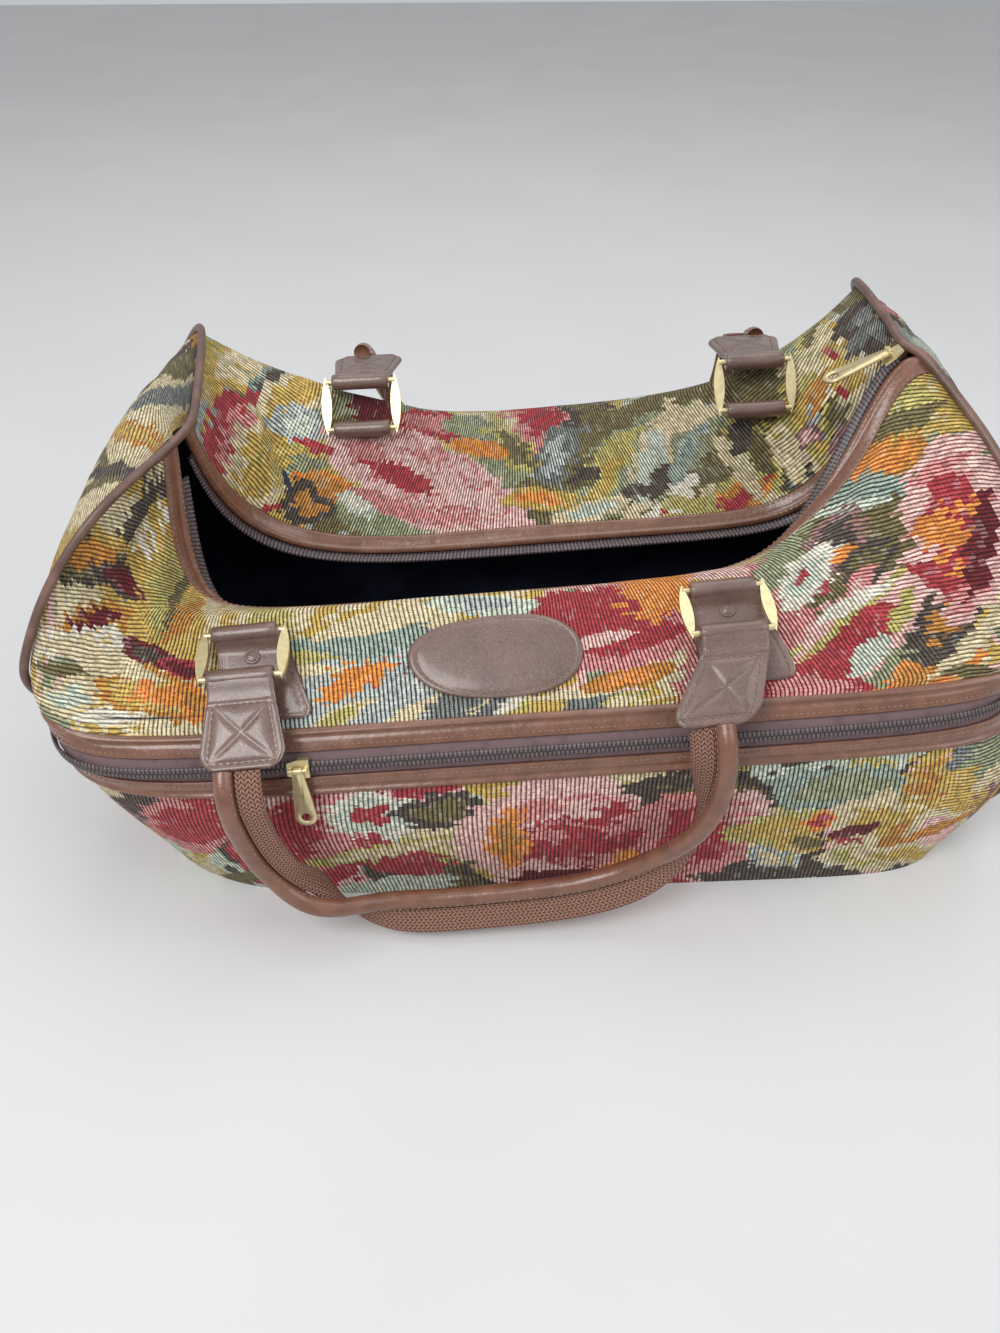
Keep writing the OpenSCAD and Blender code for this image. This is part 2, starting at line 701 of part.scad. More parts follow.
// Leather flap of a patch, laid on the cloth below its loop. The front ones lean along the bag
// by a share of their length, so that they hang straight where the cloth is drawn aside.
right_patch_share = 1.15;
front_patch_ls = [patch_l, patch_l * right_patch_share];
front_patch_leans = [0.25, -0.3];
patch_cols = 8;
patch_rows = 8;
corner_share = 0.82;
corner_width_share = 0.62;
probe_share = 0.5;
function climb_rate(s) = norm(upper_point(s[0], s[1]) - upper_point(s[0], s[1] - probe_share)) / probe_share;
function run_rate(s) =
    norm(upper_point(s[0] + nudge_share, s[1]) - upper_point(s[0] - nudge_share, s[1])) / (2 * nudge_share);
function patch_half(b, l) =
    let (k = max(0, (b - corner_share) / (1 - corner_share)))
    mix(loop_l, patch_w, b * l / patch_l) / 2 * mix(1, corner_width_share, 1 - sqrt(1 - k ^ 2));
function patch_place(s, a, b, l, lean) =
    let (v = s[1] - b * l / climb_rate(s))
    [s[0] + (a * patch_half(b, l) + lean * b * l) / run_rate([s[0], v]), v];
function patch_point(s, a, b, l, lean, d) =
    let (q = patch_place(s, a, b, l, lean))
    upper_point(q[0], q[1]) + d * upper_normal(q[0], q[1]);
function patch_block(s, l, lean, d) = [
    for (i = [patch_rows : -1 : 0])
        [for (j = [0 : patch_cols]) patch_point(s, 2 * j / patch_cols - 1, i / patch_rows, l, lean, d)]
];
module patch(s, loops, end, l, lean, h) {
    color(leather_colour) difference() {
        union() {
            shell(patch_block(s, l, lean, patch_lift + h), patch_block(s, l, lean, patch_lift));
            in_frame(loops, end * half_span(loops)) along_x(loop_d, loop_l);
        }
        in_frame(loops, end * half_span(loops)) along_x(bar_d + 2 * bar_gap, 2 * loop_l);
    }
}

module front_left_patch() {
    patch(front_loop_shares[0], front_loops, -1, front_patch_ls[0], front_patch_leans[0], patch_t);
}

module front_right_patch() {
    patch(front_loop_shares[1], front_loops, 1, front_patch_ls[1], front_patch_leans[1], patch_t);
}

module back_right_patch() {
    patch(back_loop_shares[0], back_loops, -1, foot_l, 0, right_foot_h);
}

module back_left_patch() {
    patch(back_loop_shares[1], back_loops, 1, foot_l, 0, left_foot_h);
}

// Rivet caps on the front patches, just below their loops
rivet_share = 0.3;
rivet_t_share = 0.6;
rivet_step_share = 0.3;
rivet_t = patch_t * rivet_t_share;
rivet_step = patch_t * rivet_step_share;
module rivets() {
    for (i = [0, 1]) {
        s = front_loop_shares[i];
        share = rivet_share * patch_l / front_patch_ls[i];
        q = patch_place(s, 0, share, front_patch_ls[i], front_patch_leans[i]);
        out = upper_normal(q[0], q[1]);
        seat = patch_point(
            s, 0, share, front_patch_ls[i], front_patch_leans[i], patch_lift + patch_t + seam_gap
        );
        color(leather_colour) translate(seat) rotate([0, acos(out.z), atan2(out.y, out.x)]) {
            cylinder(d = rivet_d, h = rivet_t);
            cylinder(d = rivet_d / rim_share, h = rivet_t + rivet_step);
        }
    }
}

// Handle tab: a leather loop round the ring's outer bar and a flap that runs out along -Y
tab_corner = tab_w / 4;
tab_steps = 8;
function upright_outline() = [
    [-loop_l / 2, 0],
    [-loop_l / 2, -loop_d],
    each [
        for (i = [0 : tab_steps])
            let (q = 180 + 90 * i / tab_steps)
            [tab_corner - tab_w / 2, tab_corner - tab_l] + tab_corner * [cos(q), sin(q)]
    ],
    each [
        for (i = [0 : tab_steps])
            let (q = 270 + 90 * i / tab_steps)
            [tab_w / 2 - tab_corner, tab_corner - tab_l] + tab_corner * [cos(q), sin(q)]
    ],
    [loop_l / 2, -loop_d],
    [loop_l / 2, 0]
];
function tab_outline(lean) = [
    for (p = upright_outline())
        [p.x + lean * max(0, (-p.y - loop_d) / (tab_l - loop_d)), p.y]
];
module tab(lean = 0) {
    color(leather_colour) difference() {
        union() {
            along_x(loop_d, loop_l);
            translate([0, 0, -tab_t / 2]) linear_extrude(tab_t) polygon(tab_outline(lean));
        }
        along_x(bar_d + 2 * bar_gap, 2 * loop_l);
    }
}

// Moves to a ring's outer bar and turns to the fall of the handle
module at_outer_bar(loops, end, rise, fall) {
    in_frame(loops, end * half_span(loops))
        translate([0, -ring_pitch * cos(rise), ring_pitch * sin(rise)])
            rotate([fall, 0, 0])
                children();
}

module front_left_tab() {
    at_outer_bar(front_loops, -1, -front_ring_fall, front_tab_fall) tab();
}

module front_right_tab() {
    at_outer_bar(front_loops, 1, -front_ring_fall, front_tab_fall) tab(front_tab_lean);
}

module back_right_tab() {
    at_outer_bar(back_loops, -1, back_ring_rise, back_tab_fall) tab();
}

module back_left_tab() {
    at_outer_bar(back_loops, 1, back_ring_rise, back_tab_fall) tab();
}

// Side view of a handle: straight along its tabs, then a bend, then straight down.
// Gives the outward and upward place and the angle below level at the length b along it.
function fall_angle(b, fall) = min(90, fall + max(0, b - tab_l) / bend_r * 180 / PI);
function fall_place(b, fall) =
    let (
        q = fall_angle(b, fall),
        bend_l = bend_r * (90 - fall) * PI / 180,
        straight = max(0, b - tab_l - bend_l)
    )
    min(b, tab_l) * [-cos(fall), -sin(fall)]
    + bend_r * [sin(fall) - sin(q), cos(q) - cos(fall)]
    + straight * [0, -1];

// The handle hangs as a rounded U between its tabs
strap_steps = 60;
u_share = 0.66;
function ease(k) = let (q = min(1, max(0, k))) q * q * (3 - 2 * q);
function strap_b(q) = mix(tab_l + seam_gap, handle_drop, sin(180 * ease(q)) ^ u_share);
function strap_a(q, half, lean) =
    let (c = cos(180 * ease(q)), k = sign(c) * abs(c) ^ u_share)
    mix(half + lean, -half - leg_spread, (1 + k) / 2);
function strap_place(q, half, lean, fall) =
    let (f = fall_place(strap_b(q), fall))
    [strap_a(q, half, lean), f[0], f[1]];
// Turn of the strap about its own length: the roll starts on the outer side of the U, crosses in front
// to its inner side along the bottom and crosses in front again to its outer side
twist_shares = [0.24, 0.48, 0.56, 0.94];
function twist(q) =
    mix(twist_start, twist_bottom, ease((q - twist_shares[0]) / (twist_shares[1] - twist_shares[0])))
    + (twist_end - twist_bottom) * ease((q - twist_shares[2]) / (twist_shares[3] - twist_shares[2]));
strap_gap = (grip_d + webbing_w) / 2 + seam_gap;
// Rings of a section beside the strap's path, moved out by d towards the roll
function strap_rings(half, lean, fall, section, d) = [
    for (i = [0 : strap_steps])
        let (
            q = i / strap_steps,
            h = 1 / strap_steps / 4,
            b = strap_b(q),
            p = strap_place(q, half, lean, fall),
            ahead = strap_place(min(1, q + h), half, lean, fall),
            behind = strap_place(max(0, q - h), half, lean, fall),
            t = unit(ahead - behind),
            n = [0, -sin(fall_angle(b, fall)), cos(fall_angle(b, fall))],
            side = unit(cross(n, t)),
            face = cross(t, side),
            w = twist(q),
            a = side * cos(w) + face * sin(w),
            c = face * cos(w) - side * sin(w)
        )
        placed(section, p + d * a, a, c)
];
grip_sides = 10;
webbing_section = let (x = webbing_w / 2, y = webbing_t / 2) [[x, y], [-x, y], [-x, -y], [x, -y]];

module front_strap(section, d) {
    half = half_span(front_loops);
    at_outer_bar(front_loops, 0, -front_ring_fall, 0)
        swept(strap_rings(half, front_tab_lean, front_tab_fall, section, d));
}

module back_strap(section, d) {
    half = half_span(back_loops);
    at_outer_bar(back_loops, 0, back_ring_rise, 0)
        swept(strap_rings(half, 0, back_tab_fall, section, d));
}

module front_webbing() {
    color(webbing_colour) front_strap(webbing_section, -strap_gap / 2);
}

module back_webbing() {
    color(webbing_colour) back_strap(webbing_section, -strap_gap / 2);
}

module front_grip() {
    color(leather_colour) front_strap(round_section(grip_d, grip_sides), strap_gap / 2);
}

module back_grip() {
    color(leather_colour) back_strap(round_section(grip_d, grip_sides), strap_gap / 2);
}

// Oval badge sewn to the front below the mouth
badge_shares = [0.480, 1.77];
badge_steps = 48;
badge_lift = 2 * seam_gap;
module badge() {
    p = upper_point(badge_shares[0], badge_shares[1]);
    right = unit(upper_point(badge_shares[0] + nudge_share, badge_shares[1]) - p);
    out = unit(cross(right, upper_point(badge_shares[0], badge_shares[1] + nudge_share) - p));
    up = cross(out, right);
    seat = p + out * badge_lift;
    color(leather_colour)
        multmatrix([
            [right.x, up.x, out.x, seat.x],
            [right.y, up.y, out.y, seat.y],
            [right.z, up.z, out.z, seat.z],
            [0, 0, 0, 1]
        ])
            linear_extrude(badge_t)
                polygon([
                    for (i = [0 : badge_steps - 1])
                        let (q = 360 * i / badge_steps) [badge_l * cos(q), badge_w * sin(q)] / 2
                ]);
}

front_panel();
back_panel();
left_end_panel();
right_end_panel();
base_band();
base_panel();
lining();
left_piping();
right_piping();
corner_piping();
front_mouth_band();
back_mouth_band();
front_mouth_zip();
back_mouth_zip();
mouth_slider();
mouth_pull();
upper_zip_band();
lower_zip_band();
zip_tape();
zip_chain();
zip_slider();
zip_pull();
front_left_patch();
front_right_patch();
back_left_patch();
back_right_patch();
rivets();
front_left_ring();
front_right_ring();
back_left_ring();
back_right_ring();
front_left_tab();
front_right_tab();
back_left_tab();
back_right_tab();
front_webbing();
back_webbing();
front_grip();
back_grip();
badge();
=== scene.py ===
import json
import math

import bpy
import numpy as np
from bpy.props import FloatProperty, FloatVectorProperty, PointerProperty
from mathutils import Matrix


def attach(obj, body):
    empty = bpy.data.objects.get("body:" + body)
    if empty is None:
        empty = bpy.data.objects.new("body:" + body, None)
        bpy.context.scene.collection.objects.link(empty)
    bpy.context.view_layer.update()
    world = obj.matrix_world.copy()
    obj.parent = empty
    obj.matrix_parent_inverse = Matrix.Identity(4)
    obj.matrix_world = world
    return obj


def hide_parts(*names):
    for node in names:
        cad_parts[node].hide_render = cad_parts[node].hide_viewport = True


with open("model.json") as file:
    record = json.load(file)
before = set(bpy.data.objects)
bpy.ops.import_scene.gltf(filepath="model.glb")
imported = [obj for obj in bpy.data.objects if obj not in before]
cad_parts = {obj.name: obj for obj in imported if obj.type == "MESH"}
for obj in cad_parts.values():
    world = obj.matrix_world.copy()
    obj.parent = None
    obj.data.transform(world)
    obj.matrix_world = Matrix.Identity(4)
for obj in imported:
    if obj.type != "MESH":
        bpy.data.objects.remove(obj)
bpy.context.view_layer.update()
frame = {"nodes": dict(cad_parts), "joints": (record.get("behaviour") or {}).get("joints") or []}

bl_info = {
    "name": "Tapestry weekend bag",
    "version": (1, 0, 0),
    "blender": (4, 5, 0),
    "location": "View3D > Sidebar > Bag",
    "description": "Dresses the packed frame of a tapestry weekend bag with its cloth, leather and brass",
    "category": "Object",
}

MM = 0.001
TURN = 2 * math.pi
UP = np.array([0, 0, 1.0])

# The wall of the bag, in millimetres. Each row gives y and z at the middle of the bag, then x, y, z,
# run, rise and crest at its left end and at its right end, as shares of half length, half depth and height.
HALF_L, HALF_D, BAG_H = 276.0, 130.0, 288.0
TILT, END_BULGE = 0.12, 15.0
BULGE = (0.5, 0.5, 0.4, 0.8, 1, 0.8, 0.6, 0)
FRONT_ROWS = np.array([
    [-0.985, 0, -0.930, -0.12, 0, 1.5, 4.0, 1, 0.970, -0.62, 0, 1.6, 7.0, 1],
    [-1.020, 0.210, -1.000, -0.30, 0.200, 1.6, 4.0, 1, 1.040, -0.83, 0.215, 1.4, 7.0, 1],
    [-0.990, 0.420, -1.010, -0.58, 0.390, 1.6, 6.0, 1, 0.990, -0.68, 0.435, 1.5, 6.0, 1],
    [-0.860, 0.495, -1.000, -0.69, 0.550, 1.7, 5.5, 1, 1.010, -0.75, 0.590, 1.4, 5.0, 1],
    [-0.630, 0.570, -0.910, -0.62, 0.722, 2.0, 4.5, 1, 0.965, -0.65, 0.750, 1.2, 4.5, 1],
    [-0.450, 0.612, -0.810, -0.47, 0.837, 2.5, 4.0, 1, 0.890, -0.30, 0.870, 1.1, 5.0, 2],
    [-0.390, 0.612, -0.740, -0.28, 0.868, 2.8, 4.0, 1, 0.830, -0.04, 0.938, 1.1, 5.5, 2.8],
    [-0.315, 0.540, -0.690, -0.08, 0.890, 3.0, 4.0, 1, 0.780, 0.11, 0.986, 1.1, 6.0, 3.3],
])
BACK_ROWS = np.array([
    [0.985, 0, -0.935, 0.46, 0, 1.6, 6.0, 1, 0.960, 0.54, 0, 1.6, 6.0, 1],
    [1.020, 0.210, -0.985, 0.65, 0.210, 1.6, 6.0, 1, 1.000, 0.70, 0.210, 1.6, 6.0, 1],
    [0.985, 0.420, -0.980, 0.81, 0.410, 1.6, 6.0, 1, 0.970, 0.81, 0.435, 1.5, 6.0, 1],
    [1.030, 0.555, -0.950, 0.91, 0.573, 1.5, 5.0, 1, 0.970, 0.91, 0.610, 1.4, 5.0, 1],
    [0.940, 0.667, -0.850, 0.94, 0.747, 1.3, 3.0, 1, 0.870, 0.95, 0.816, 1.3, 4.5, 1],
    [0.770, 0.715, -0.735, 0.88, 0.910, 1.0, 1.65, 1, 0.770, 0.83, 0.997, 1.0, 4.0, 1],
    [0.460, 0.620, -0.680, 0.46, 0.896, 1.5, 2.5, 1, 0.745, 0.46, 1.010, 1.6, 5.0, 1.8],
    [0.190, 0.517, -0.690, -0.08, 0.890, 2.0, 3.0, 1, 0.780, 0.11, 0.986, 2.0, 6.0, 2.5],
])
BASE, MIDDLE, ZIP, SHOULDER, LIP, MOUTH = 0, 1, 2, (3, 4, 5), 6, 7
# How far each row is rounded where a side meets an end
ROUNDING = (9, 9, 7, 4, 1.5, 1, 0.5, 0.5)
TAPE_W, CHAIN_W, CHAIN_T, ZIP_BAND_W, MOUTH_BAND_W = 5.0, 6.4, 2.6, 13.0, 12.0
TAPE_HALF, MOUTH_LIP, TAPE_SINK = CHAIN_W / 2 + TAPE_W, MOUTH_BAND_W + TAPE_W, 0.8
WALL, SEAM_GAP, BAND_PROUD, PIPING_D = 2.0, 0.3, 0.5, 5.0
# Steps along a side or end of a row and round a whole row, small steps in g and v for directions, and how
# near a panel comes to its corners in g
SIDE_STEPS, ROUND_STEPS, NUDGE, NUDGE_V, CORNER = 1000, 4096, 0.004, 0.02, 1e-6
RIB_PITCH, WEFT_PITCH = 2.5, 1.3
STITCH_PITCH, STITCH_L, STITCH_W, STITCH_H, STITCH_LIFT, STITCH_LEAD = 3.4, 2.4, 0.7, 0.6, 0.12, 0.4


def mix(a, b, k):
    """Point between a and b at the share k."""
    return a + (b - a) * k


def unit(v):
    """Vectors scaled to length one."""
    return v / np.maximum(np.linalg.norm(v, axis=-1, keepdims=True), 1e-9)


def ease(k):
    """Smooth step from 0 to 1 with level ends."""
    k = np.clip(k, 0, 1)
    return k * k * (3 - 2 * k)


def bell(x, width):
    """Bell curve of height one."""
    return np.exp(-((x / width) ** 2))


def length_of(path):
    """Length along a path at each of its points."""
    return np.concatenate([[0], np.cumsum(np.linalg.norm(np.diff(path, axis=0), axis=-1))])


def at_length(at, s, points):
    """Values at the lengths at, on a path that has the length s at each of its points."""
    return np.stack([np.interp(at, s, points[:, c]) for c in range(3)], -1)


def oval(width, height, sides):
    """Points of an oval about the origin, turning left."""
    turn = np.arange(sides) / sides * TURN
    return np.stack([np.cos(turn) * width / 2, np.sin(turn) * height / 2], -1)


def flat_grid(a, b):
    """Two arrays over every pair of a and b."""
    return np.meshgrid(a, b, indexing="ij")


def row_point(rows, k, t):
    """Row k at t from -1 to 1: x runs out by a power of t, and y and z climb to the end by another."""
    row = rows[k]
    side = np.where(np.asarray(t)[..., None] < 0, row[2:8], row[8:14])
    x, y, z, run, rise, crest = np.moveaxis(side, -1, 0)
    reach = np.clip(np.abs(t), 0, 1)
    climb = 1 - (1 - reach**rise) ** crest
    px = HALF_L * x * (1 - (1 - reach) ** run)
    height = BAG_H * mix(row[1], z, climb) + TILT * px * (1 - climb) * row[1]
    return np.stack([px, HALF_D * mix(row[0], y, climb), height], -1)


def end_point(k, end, w):
    """Row k across an end panel: a straight line from front to back with a bulge outwards."""
    e = np.full(np.shape(w), float(end))
    p = mix(row_point(FRONT_ROWS, k, e), row_point(BACK_ROWS, k, e), np.asarray(w)[..., None])
    p[..., 0] += end * END_BULGE * BULGE[k] * 4 * w * (1 - w)
    return p


def row_table(k):
    """Row k once round the bag: its length at each g, and points at even steps, rounded by a bell filter."""
    t, w = np.linspace(-1, 1, SIDE_STEPS + 1), np.linspace(0, 1, SIDE_STEPS + 1)
    p = np.concatenate([
        row_point(FRONT_ROWS, k, t)[:-1], end_point(k, 1, w)[:-1],
        row_point(BACK_ROWS, k, -t)[:-1], end_point(k, -1, 1 - w),
    ])
    s = length_of(p)
    even = np.linspace(0, s[-1], ROUND_STEPS, endpoint=False)
    wave = np.fft.rfftfreq(ROUND_STEPS, s[-1] / ROUND_STEPS)
    soft = np.exp(-2 * (math.pi * wave * ROUNDING[k]) ** 2)
    q = np.fft.irfft(np.fft.rfft(at_length(even, s, p), axis=0) * soft[:, None], ROUND_STEPS, axis=0)
    return np.linspace(0, 4, len(p)), s, np.append(even, s[-1]), np.concatenate([q, q[:1]])


ROWS = [row_table(k) for k in range(len(FRONT_ROWS))]


def loop_point(k, g):
    """Row k at g: front from 0 to 1, right end to 2, back to 3 and left end to 4."""
    table_g, table_s, even, points = ROWS[k]
    return at_length(np.interp(np.asarray(g, float) % 4, table_g, table_s), even, points)


def towards(a, b, d):
    """Point at the distance d from a on the way to b."""
    return a + d * unit(b - a)


def zip_row(g, d):
    """Place at the distance d above the closed zip, along the wall."""
    return towards(loop_point(ZIP, g), loop_point(SHOULDER[0] if d > 0 else MIDDLE, g), abs(d))


def lip_row(g, d):
    """Place at the distance d below the edge of the mouth."""
    return towards(loop_point(MOUTH, g), loop_point(LIP, g), d)


def spline(knots, v):
    """Catmull-Rom curve through the knots with its end points doubled, v counted in spans."""
    last = len(knots) - 1
    i = np.clip(np.floor(v).astype(int), 0, last - 1)
    k = (v - i)[..., None]
    stack = np.stack(knots)
    p0, p1, p2, p3 = (
        np.take_along_axis(stack, np.clip(i + step, 0, last)[None, ..., None], 0)[0] for step in (-1, 0, 1, 2)
    )
    return (
        p1 + (p2 - p0) * k / 2 + (2 * p0 - 5 * p1 + 4 * p2 - p3) * k**2 / 2
        + (3 * p1 - p0 - 3 * p2 + p3) * k**3 / 2
    )


def upper_point(g, v):
    """Wall above the closed zip: v 0 at the band's edge, 1 to 3 on the shoulder rows, 4 at the lip."""
    g, v = np.broadcast_arrays(np.asarray(g, float), np.asarray(v, float))
    shoulder = [loop_point(k, g) for k in SHOULDER]
    return spline([zip_row(g, TAPE_HALF + ZIP_BAND_W), *shoulder, lip_row(g, MOUTH_LIP)], v)


def lower_point(g, v):
    """Wall below the closed zip: v 0 on the floor, 1 at its middle, 2 at the band's edge."""
    g, v = np.broadcast_arrays(np.asarray(g, float), np.asarray(v, float))
    return spline([loop_point(BASE, g), loop_point(MIDDLE, g), zip_row(g, -TAPE_HALF - ZIP_BAND_W)], v)


def wall_point(g, v):
    """Wall above the closed zip, with v from 4 to 5 across the binding's width up to the mouth's tape."""
    g, v = np.broadcast_arrays(np.asarray(g, float), np.asarray(v, float))
    over = mix(lip_row(g, MOUTH_LIP), lip_row(g, TAPE_W), np.clip(v - 4, 0, 1)[..., None])
    return np.where((v > 4)[..., None], over, upper_point(g, np.minimum(v, 4)))


def normal_of(place, top):
    """Outward normal of a surface whose v runs from 0 to top, across its directions of g and v."""
    def normal(g, v):
        v = np.asarray(v, float)
        above, below = np.minimum(v + NUDGE_V, top), np.maximum(v - NUDGE_V, 0)
        return unit(np.cross(place(g + NUDGE, v) - place(g - NUDGE, v), place(g, above) - place(g, below)))
    return normal


upper_normal, lower_normal, wall_normal = (
    normal_of(place, top) for place, top in ((upper_point, 4), (lower_point, 2), (wall_point, 5)))


def zip_normal(g):
    """Outward normal of the wall at the closed zip."""
    along = loop_point(ZIP, g + NUDGE) - loop_point(ZIP, g - NUDGE)
    return unit(np.cross(along, zip_row(g, TAPE_HALF) - zip_row(g, -TAPE_HALF)))


def lip_normal(g):
    """Outward normal of the wall at the edge of the mouth."""
    along = lip_row(g + NUDGE, TAPE_W) - lip_row(g - NUDGE, TAPE_W)
    return unit(np.cross(along, loop_point(MOUTH, g) - lip_row(g, MOUTH_LIP)))


def even_round(row, step, start=0.0, stop=4.0):
    """Values of g from start to stop, at even steps of length along a row."""
    g = np.linspace(start, stop, 4 * SIDE_STEPS + 1)
    s = length_of(row(g))
    count = max(8, int(round(s[-1] / step)))
    return np.interp(np.linspace(0, s[-1], count + 1), s, g)


def even_side(row, step, start):
    """The same along one side or end, kept just inside its corners."""
    low, high = start + CORNER, start + 1 - CORNER
    return np.clip(even_round(lambda g: row(np.clip(g, low, high)), step, start, start + 1), low, high)


class Shape:
    """Grids, fans and repeated small parts of one piece, in millimetres, gathered for one mesh."""

    def __init__(self):
        self.points, self.quads, self.tris, self.quad_uv, self.tri_uv = [], [], [], [], []
        self.count, self.paint = 0, []

    def add(self, points):
        """Takes in points and gives the number of the first."""
        points = np.asarray(points, float).reshape(-1, 3)
        self.points.append(points)
        self.count += len(points)
        return self.count - len(points)

    def grid(self, p, close_u=False, close_v=False, uv=None, paint=None):
        """Quads over an array of points, u by v; the face looks along the cross product of u and v."""
        nu, nv = p.shape[:2]
        first = self.add(p)
        i, j = np.meshgrid(np.arange(nu - (not close_u)), np.arange(nv - (not close_v)), indexing="ij")
        corners = ((i, j), (i + 1, j), (i + 1, j + 1), (i, j + 1))
        self.quads.append(first + np.stack([a % nu * nv + b % nv for a, b in corners], -1).reshape(-1, 4))
        if uv is None:
            uv = np.stack(np.meshgrid(np.arange(nu + 1.0), np.arange(nv + 1.0), indexing="ij"), -1)
        self.quad_uv.append(np.stack([uv[a, b] for a, b in corners], -2).reshape(-1, 4, 2))
        plain = np.ones((1, 2, 4)) if paint is None else paint.reshape(-1, 2, 4)
        self.paint.append(np.broadcast_to(plain, (len(self.quads[-1]), 2, 4)))
        return first

    def fan(self, index, middle, flip):
        """Triangles from a ring of points, given by their numbers, to one point in the middle."""
        tri = np.stack([index, np.roll(index, -1), np.full(len(index), self.add(middle))], -1)
        self.tris.append(tri[:, ::-1] if flip else tri)
        self.tri_uv.append(np.zeros((len(tri), 3, 2)))

    def tube(self, rings, uv=None, rise=0.0):
        """Closed rings along a path with a domed cap on each end; rings turn left about the path."""
        n, m = rings.shape[:2]
        first = self.grid(rings, close_v=True, uv=uv)
        middle = rings.mean(1)
        self.fan(first + np.arange(m), middle[0] + unit(middle[0] - middle[1]) * rise, True)
        self.fan(first + (n - 1) * m + np.arange(m), middle[-1] + unit(middle[-1] - middle[-2]) * rise, False)

    def disc(self, p, low, high):
        """Rings about an axis, closed by a fan to low on the first ring and to high on the last."""
        n, m = p.shape[:2]
        first = self.grid(p, close_u=True)
        self.fan(first + np.arange(n) * m, low, True)
        self.fan(first + np.arange(n) * m + m - 1, high, False)

    def shell(self, outer, inner, uv=None, paint=None, back=None, close_u=False, thin=1):
        """Cloth with a thickness: outer grid, rim, and each thin-th row of the inner grid."""
        nu, nv = outer.shape[:2]
        rows = np.unique(np.append(np.arange(0, nv, thin), nv - 1))[::-1]
        ring = np.concatenate([outer, inner[:, rows]], 1)
        if uv is not None:
            uv = np.concatenate([uv, uv[:, rows], uv[:, :1]], 1)
        if paint is not None:
            plain = np.broadcast_to(back, (paint.shape[0], len(rows) + 1, 2, 4))
            paint = np.concatenate([paint, plain], 1)
        first = self.grid(ring, close_u=close_u, close_v=True, uv=uv, paint=paint)
        if close_u:
            return
        j = np.arange(nv - 1)
        for column, flip in ((0, True), (nu - 1, False)):
            a = first + column * 2 * nv + j
            c = first + column * 2 * nv + 2 * nv - 1 - j
            quad = np.stack([a, a + 1, c - 1, c], -1)
            self.quads.append(quad[:, ::-1] if flip else quad)
            self.quad_uv.append(np.zeros((nv - 1, 4, 2)))
            colour = np.ones((2, 4)) if back is None else back
            self.paint.append(np.broadcast_to(colour, (nv - 1, 2, 4)))

    def repeat(self, template, faces, place, axes):
        """A small closed form set at many places, on the three axes given there."""
        first = self.add(place[:, None] + template @ axes)
        tri = first + (np.arange(len(place))[:, None, None] * len(template) + faces).reshape(-1, 3)
        self.tris.append(tri)
        self.tri_uv.append(np.zeros((len(tri), 3, 2)))

    def build(self, name, slot, finish, *nodes, body="bag"):
        """Writes the mesh in metres, puts the piece on its body and lets it stand for its nodes."""
        points = np.concatenate(self.points) * MM
        quads = np.concatenate(self.quads) if self.quads else np.zeros((0, 4), int)
        tris = np.concatenate(self.tris) if self.tris else np.zeros((0, 3), int)
        loops = np.concatenate([quads.ravel(), tris.ravel()])
        starts = np.concatenate([np.arange(len(quads)) * 4, quads.size + np.arange(len(tris)) * 3])
        mesh = bpy.data.meshes.new(name)
        mesh.vertices.add(len(points))
        mesh.vertices.foreach_set("co", points.astype(np.float32).ravel())
        mesh.loops.add(len(loops))
        mesh.loops.foreach_set("vertex_index", loops.astype(np.int32))
        mesh.polygons.add(len(starts))
        mesh.polygons.foreach_set("loop_start", starts.astype(np.int32))
        mesh.update(calc_edges=True)
        uv = np.concatenate([np.concatenate(s).reshape(-1, 2) for s in (self.quad_uv, self.tri_uv) if s])
        mesh.uv_layers.new(name="threads").data.foreach_set("uv", uv.astype(np.float32).ravel())
        if any(not np.all(c == 1) for c in self.paint):
            colour = np.ones((len(loops), 2, 4), np.float32)
            colour[: quads.size] = np.repeat(np.concatenate(self.paint), 4, axis=0)
            for number, layer in enumerate(("ground", "rib")):
                paint = mesh.color_attributes.new(name=layer, type="FLOAT_COLOR", domain="CORNER")
                paint.data.foreach_set("color", colour[:, number].ravel())
        mesh.polygons.foreach_set("use_smooth", np.full(len(starts), True))
        if mesh.validate(verbose=False):
            raise RuntimeError(f"{name}: the mesh has faults")
        mesh.materials.append(finish_of(finish))
        piece = bpy.data.objects.new(name, mesh)
        bpy.context.collection.objects.link(piece)
        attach(piece, body)
        if nodes:
            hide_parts(*nodes)
        return piece


def seed_form(length, width, height, sides=6):
    """Stitch: a short rounded rod along x, two rings and two tips."""
    ring = np.column_stack([np.zeros(sides), oval(width, height, sides)])
    shift, tip = np.array([length * 0.28, 0, 0]), np.array([length / 2, 0, 0])
    points = np.concatenate([[-tip], ring - shift, ring + shift, [tip]])
    a = 1 + np.arange(sides)
    b = np.roll(a, -1)
    c, d = a + sides, b + sides
    first, last = np.zeros(sides, int), np.full(sides, 2 * sides + 1)
    corners = ((first, b, a), (a, b, c), (b, d, c), (c, d, last))
    return points, np.concatenate([np.stack(three, -1) for three in corners])


def stitch_row(shape, path, out, pitch=STITCH_PITCH):
    """Stitches at an even pitch along a path, flat on the surface whose normals are given."""
    s = length_of(path)
    count = max(1, int(s[-1] / pitch))
    at = (np.arange(count) + 0.5) * s[-1] / count
    x = unit(at_length(at + STITCH_LEAD, s, path) - at_length(at - STITCH_LEAD, s, path))
    n = at_length(at, s, out)
    n = unit(n - x * (n * x).sum(-1, keepdims=True))
    place = at_length(at, s, path) + n * STITCH_LIFT
    shape.repeat(*seed_form(STITCH_L, STITCH_W, STITCH_H), place, np.stack([x, np.cross(n, x), n], 1))


# Materials

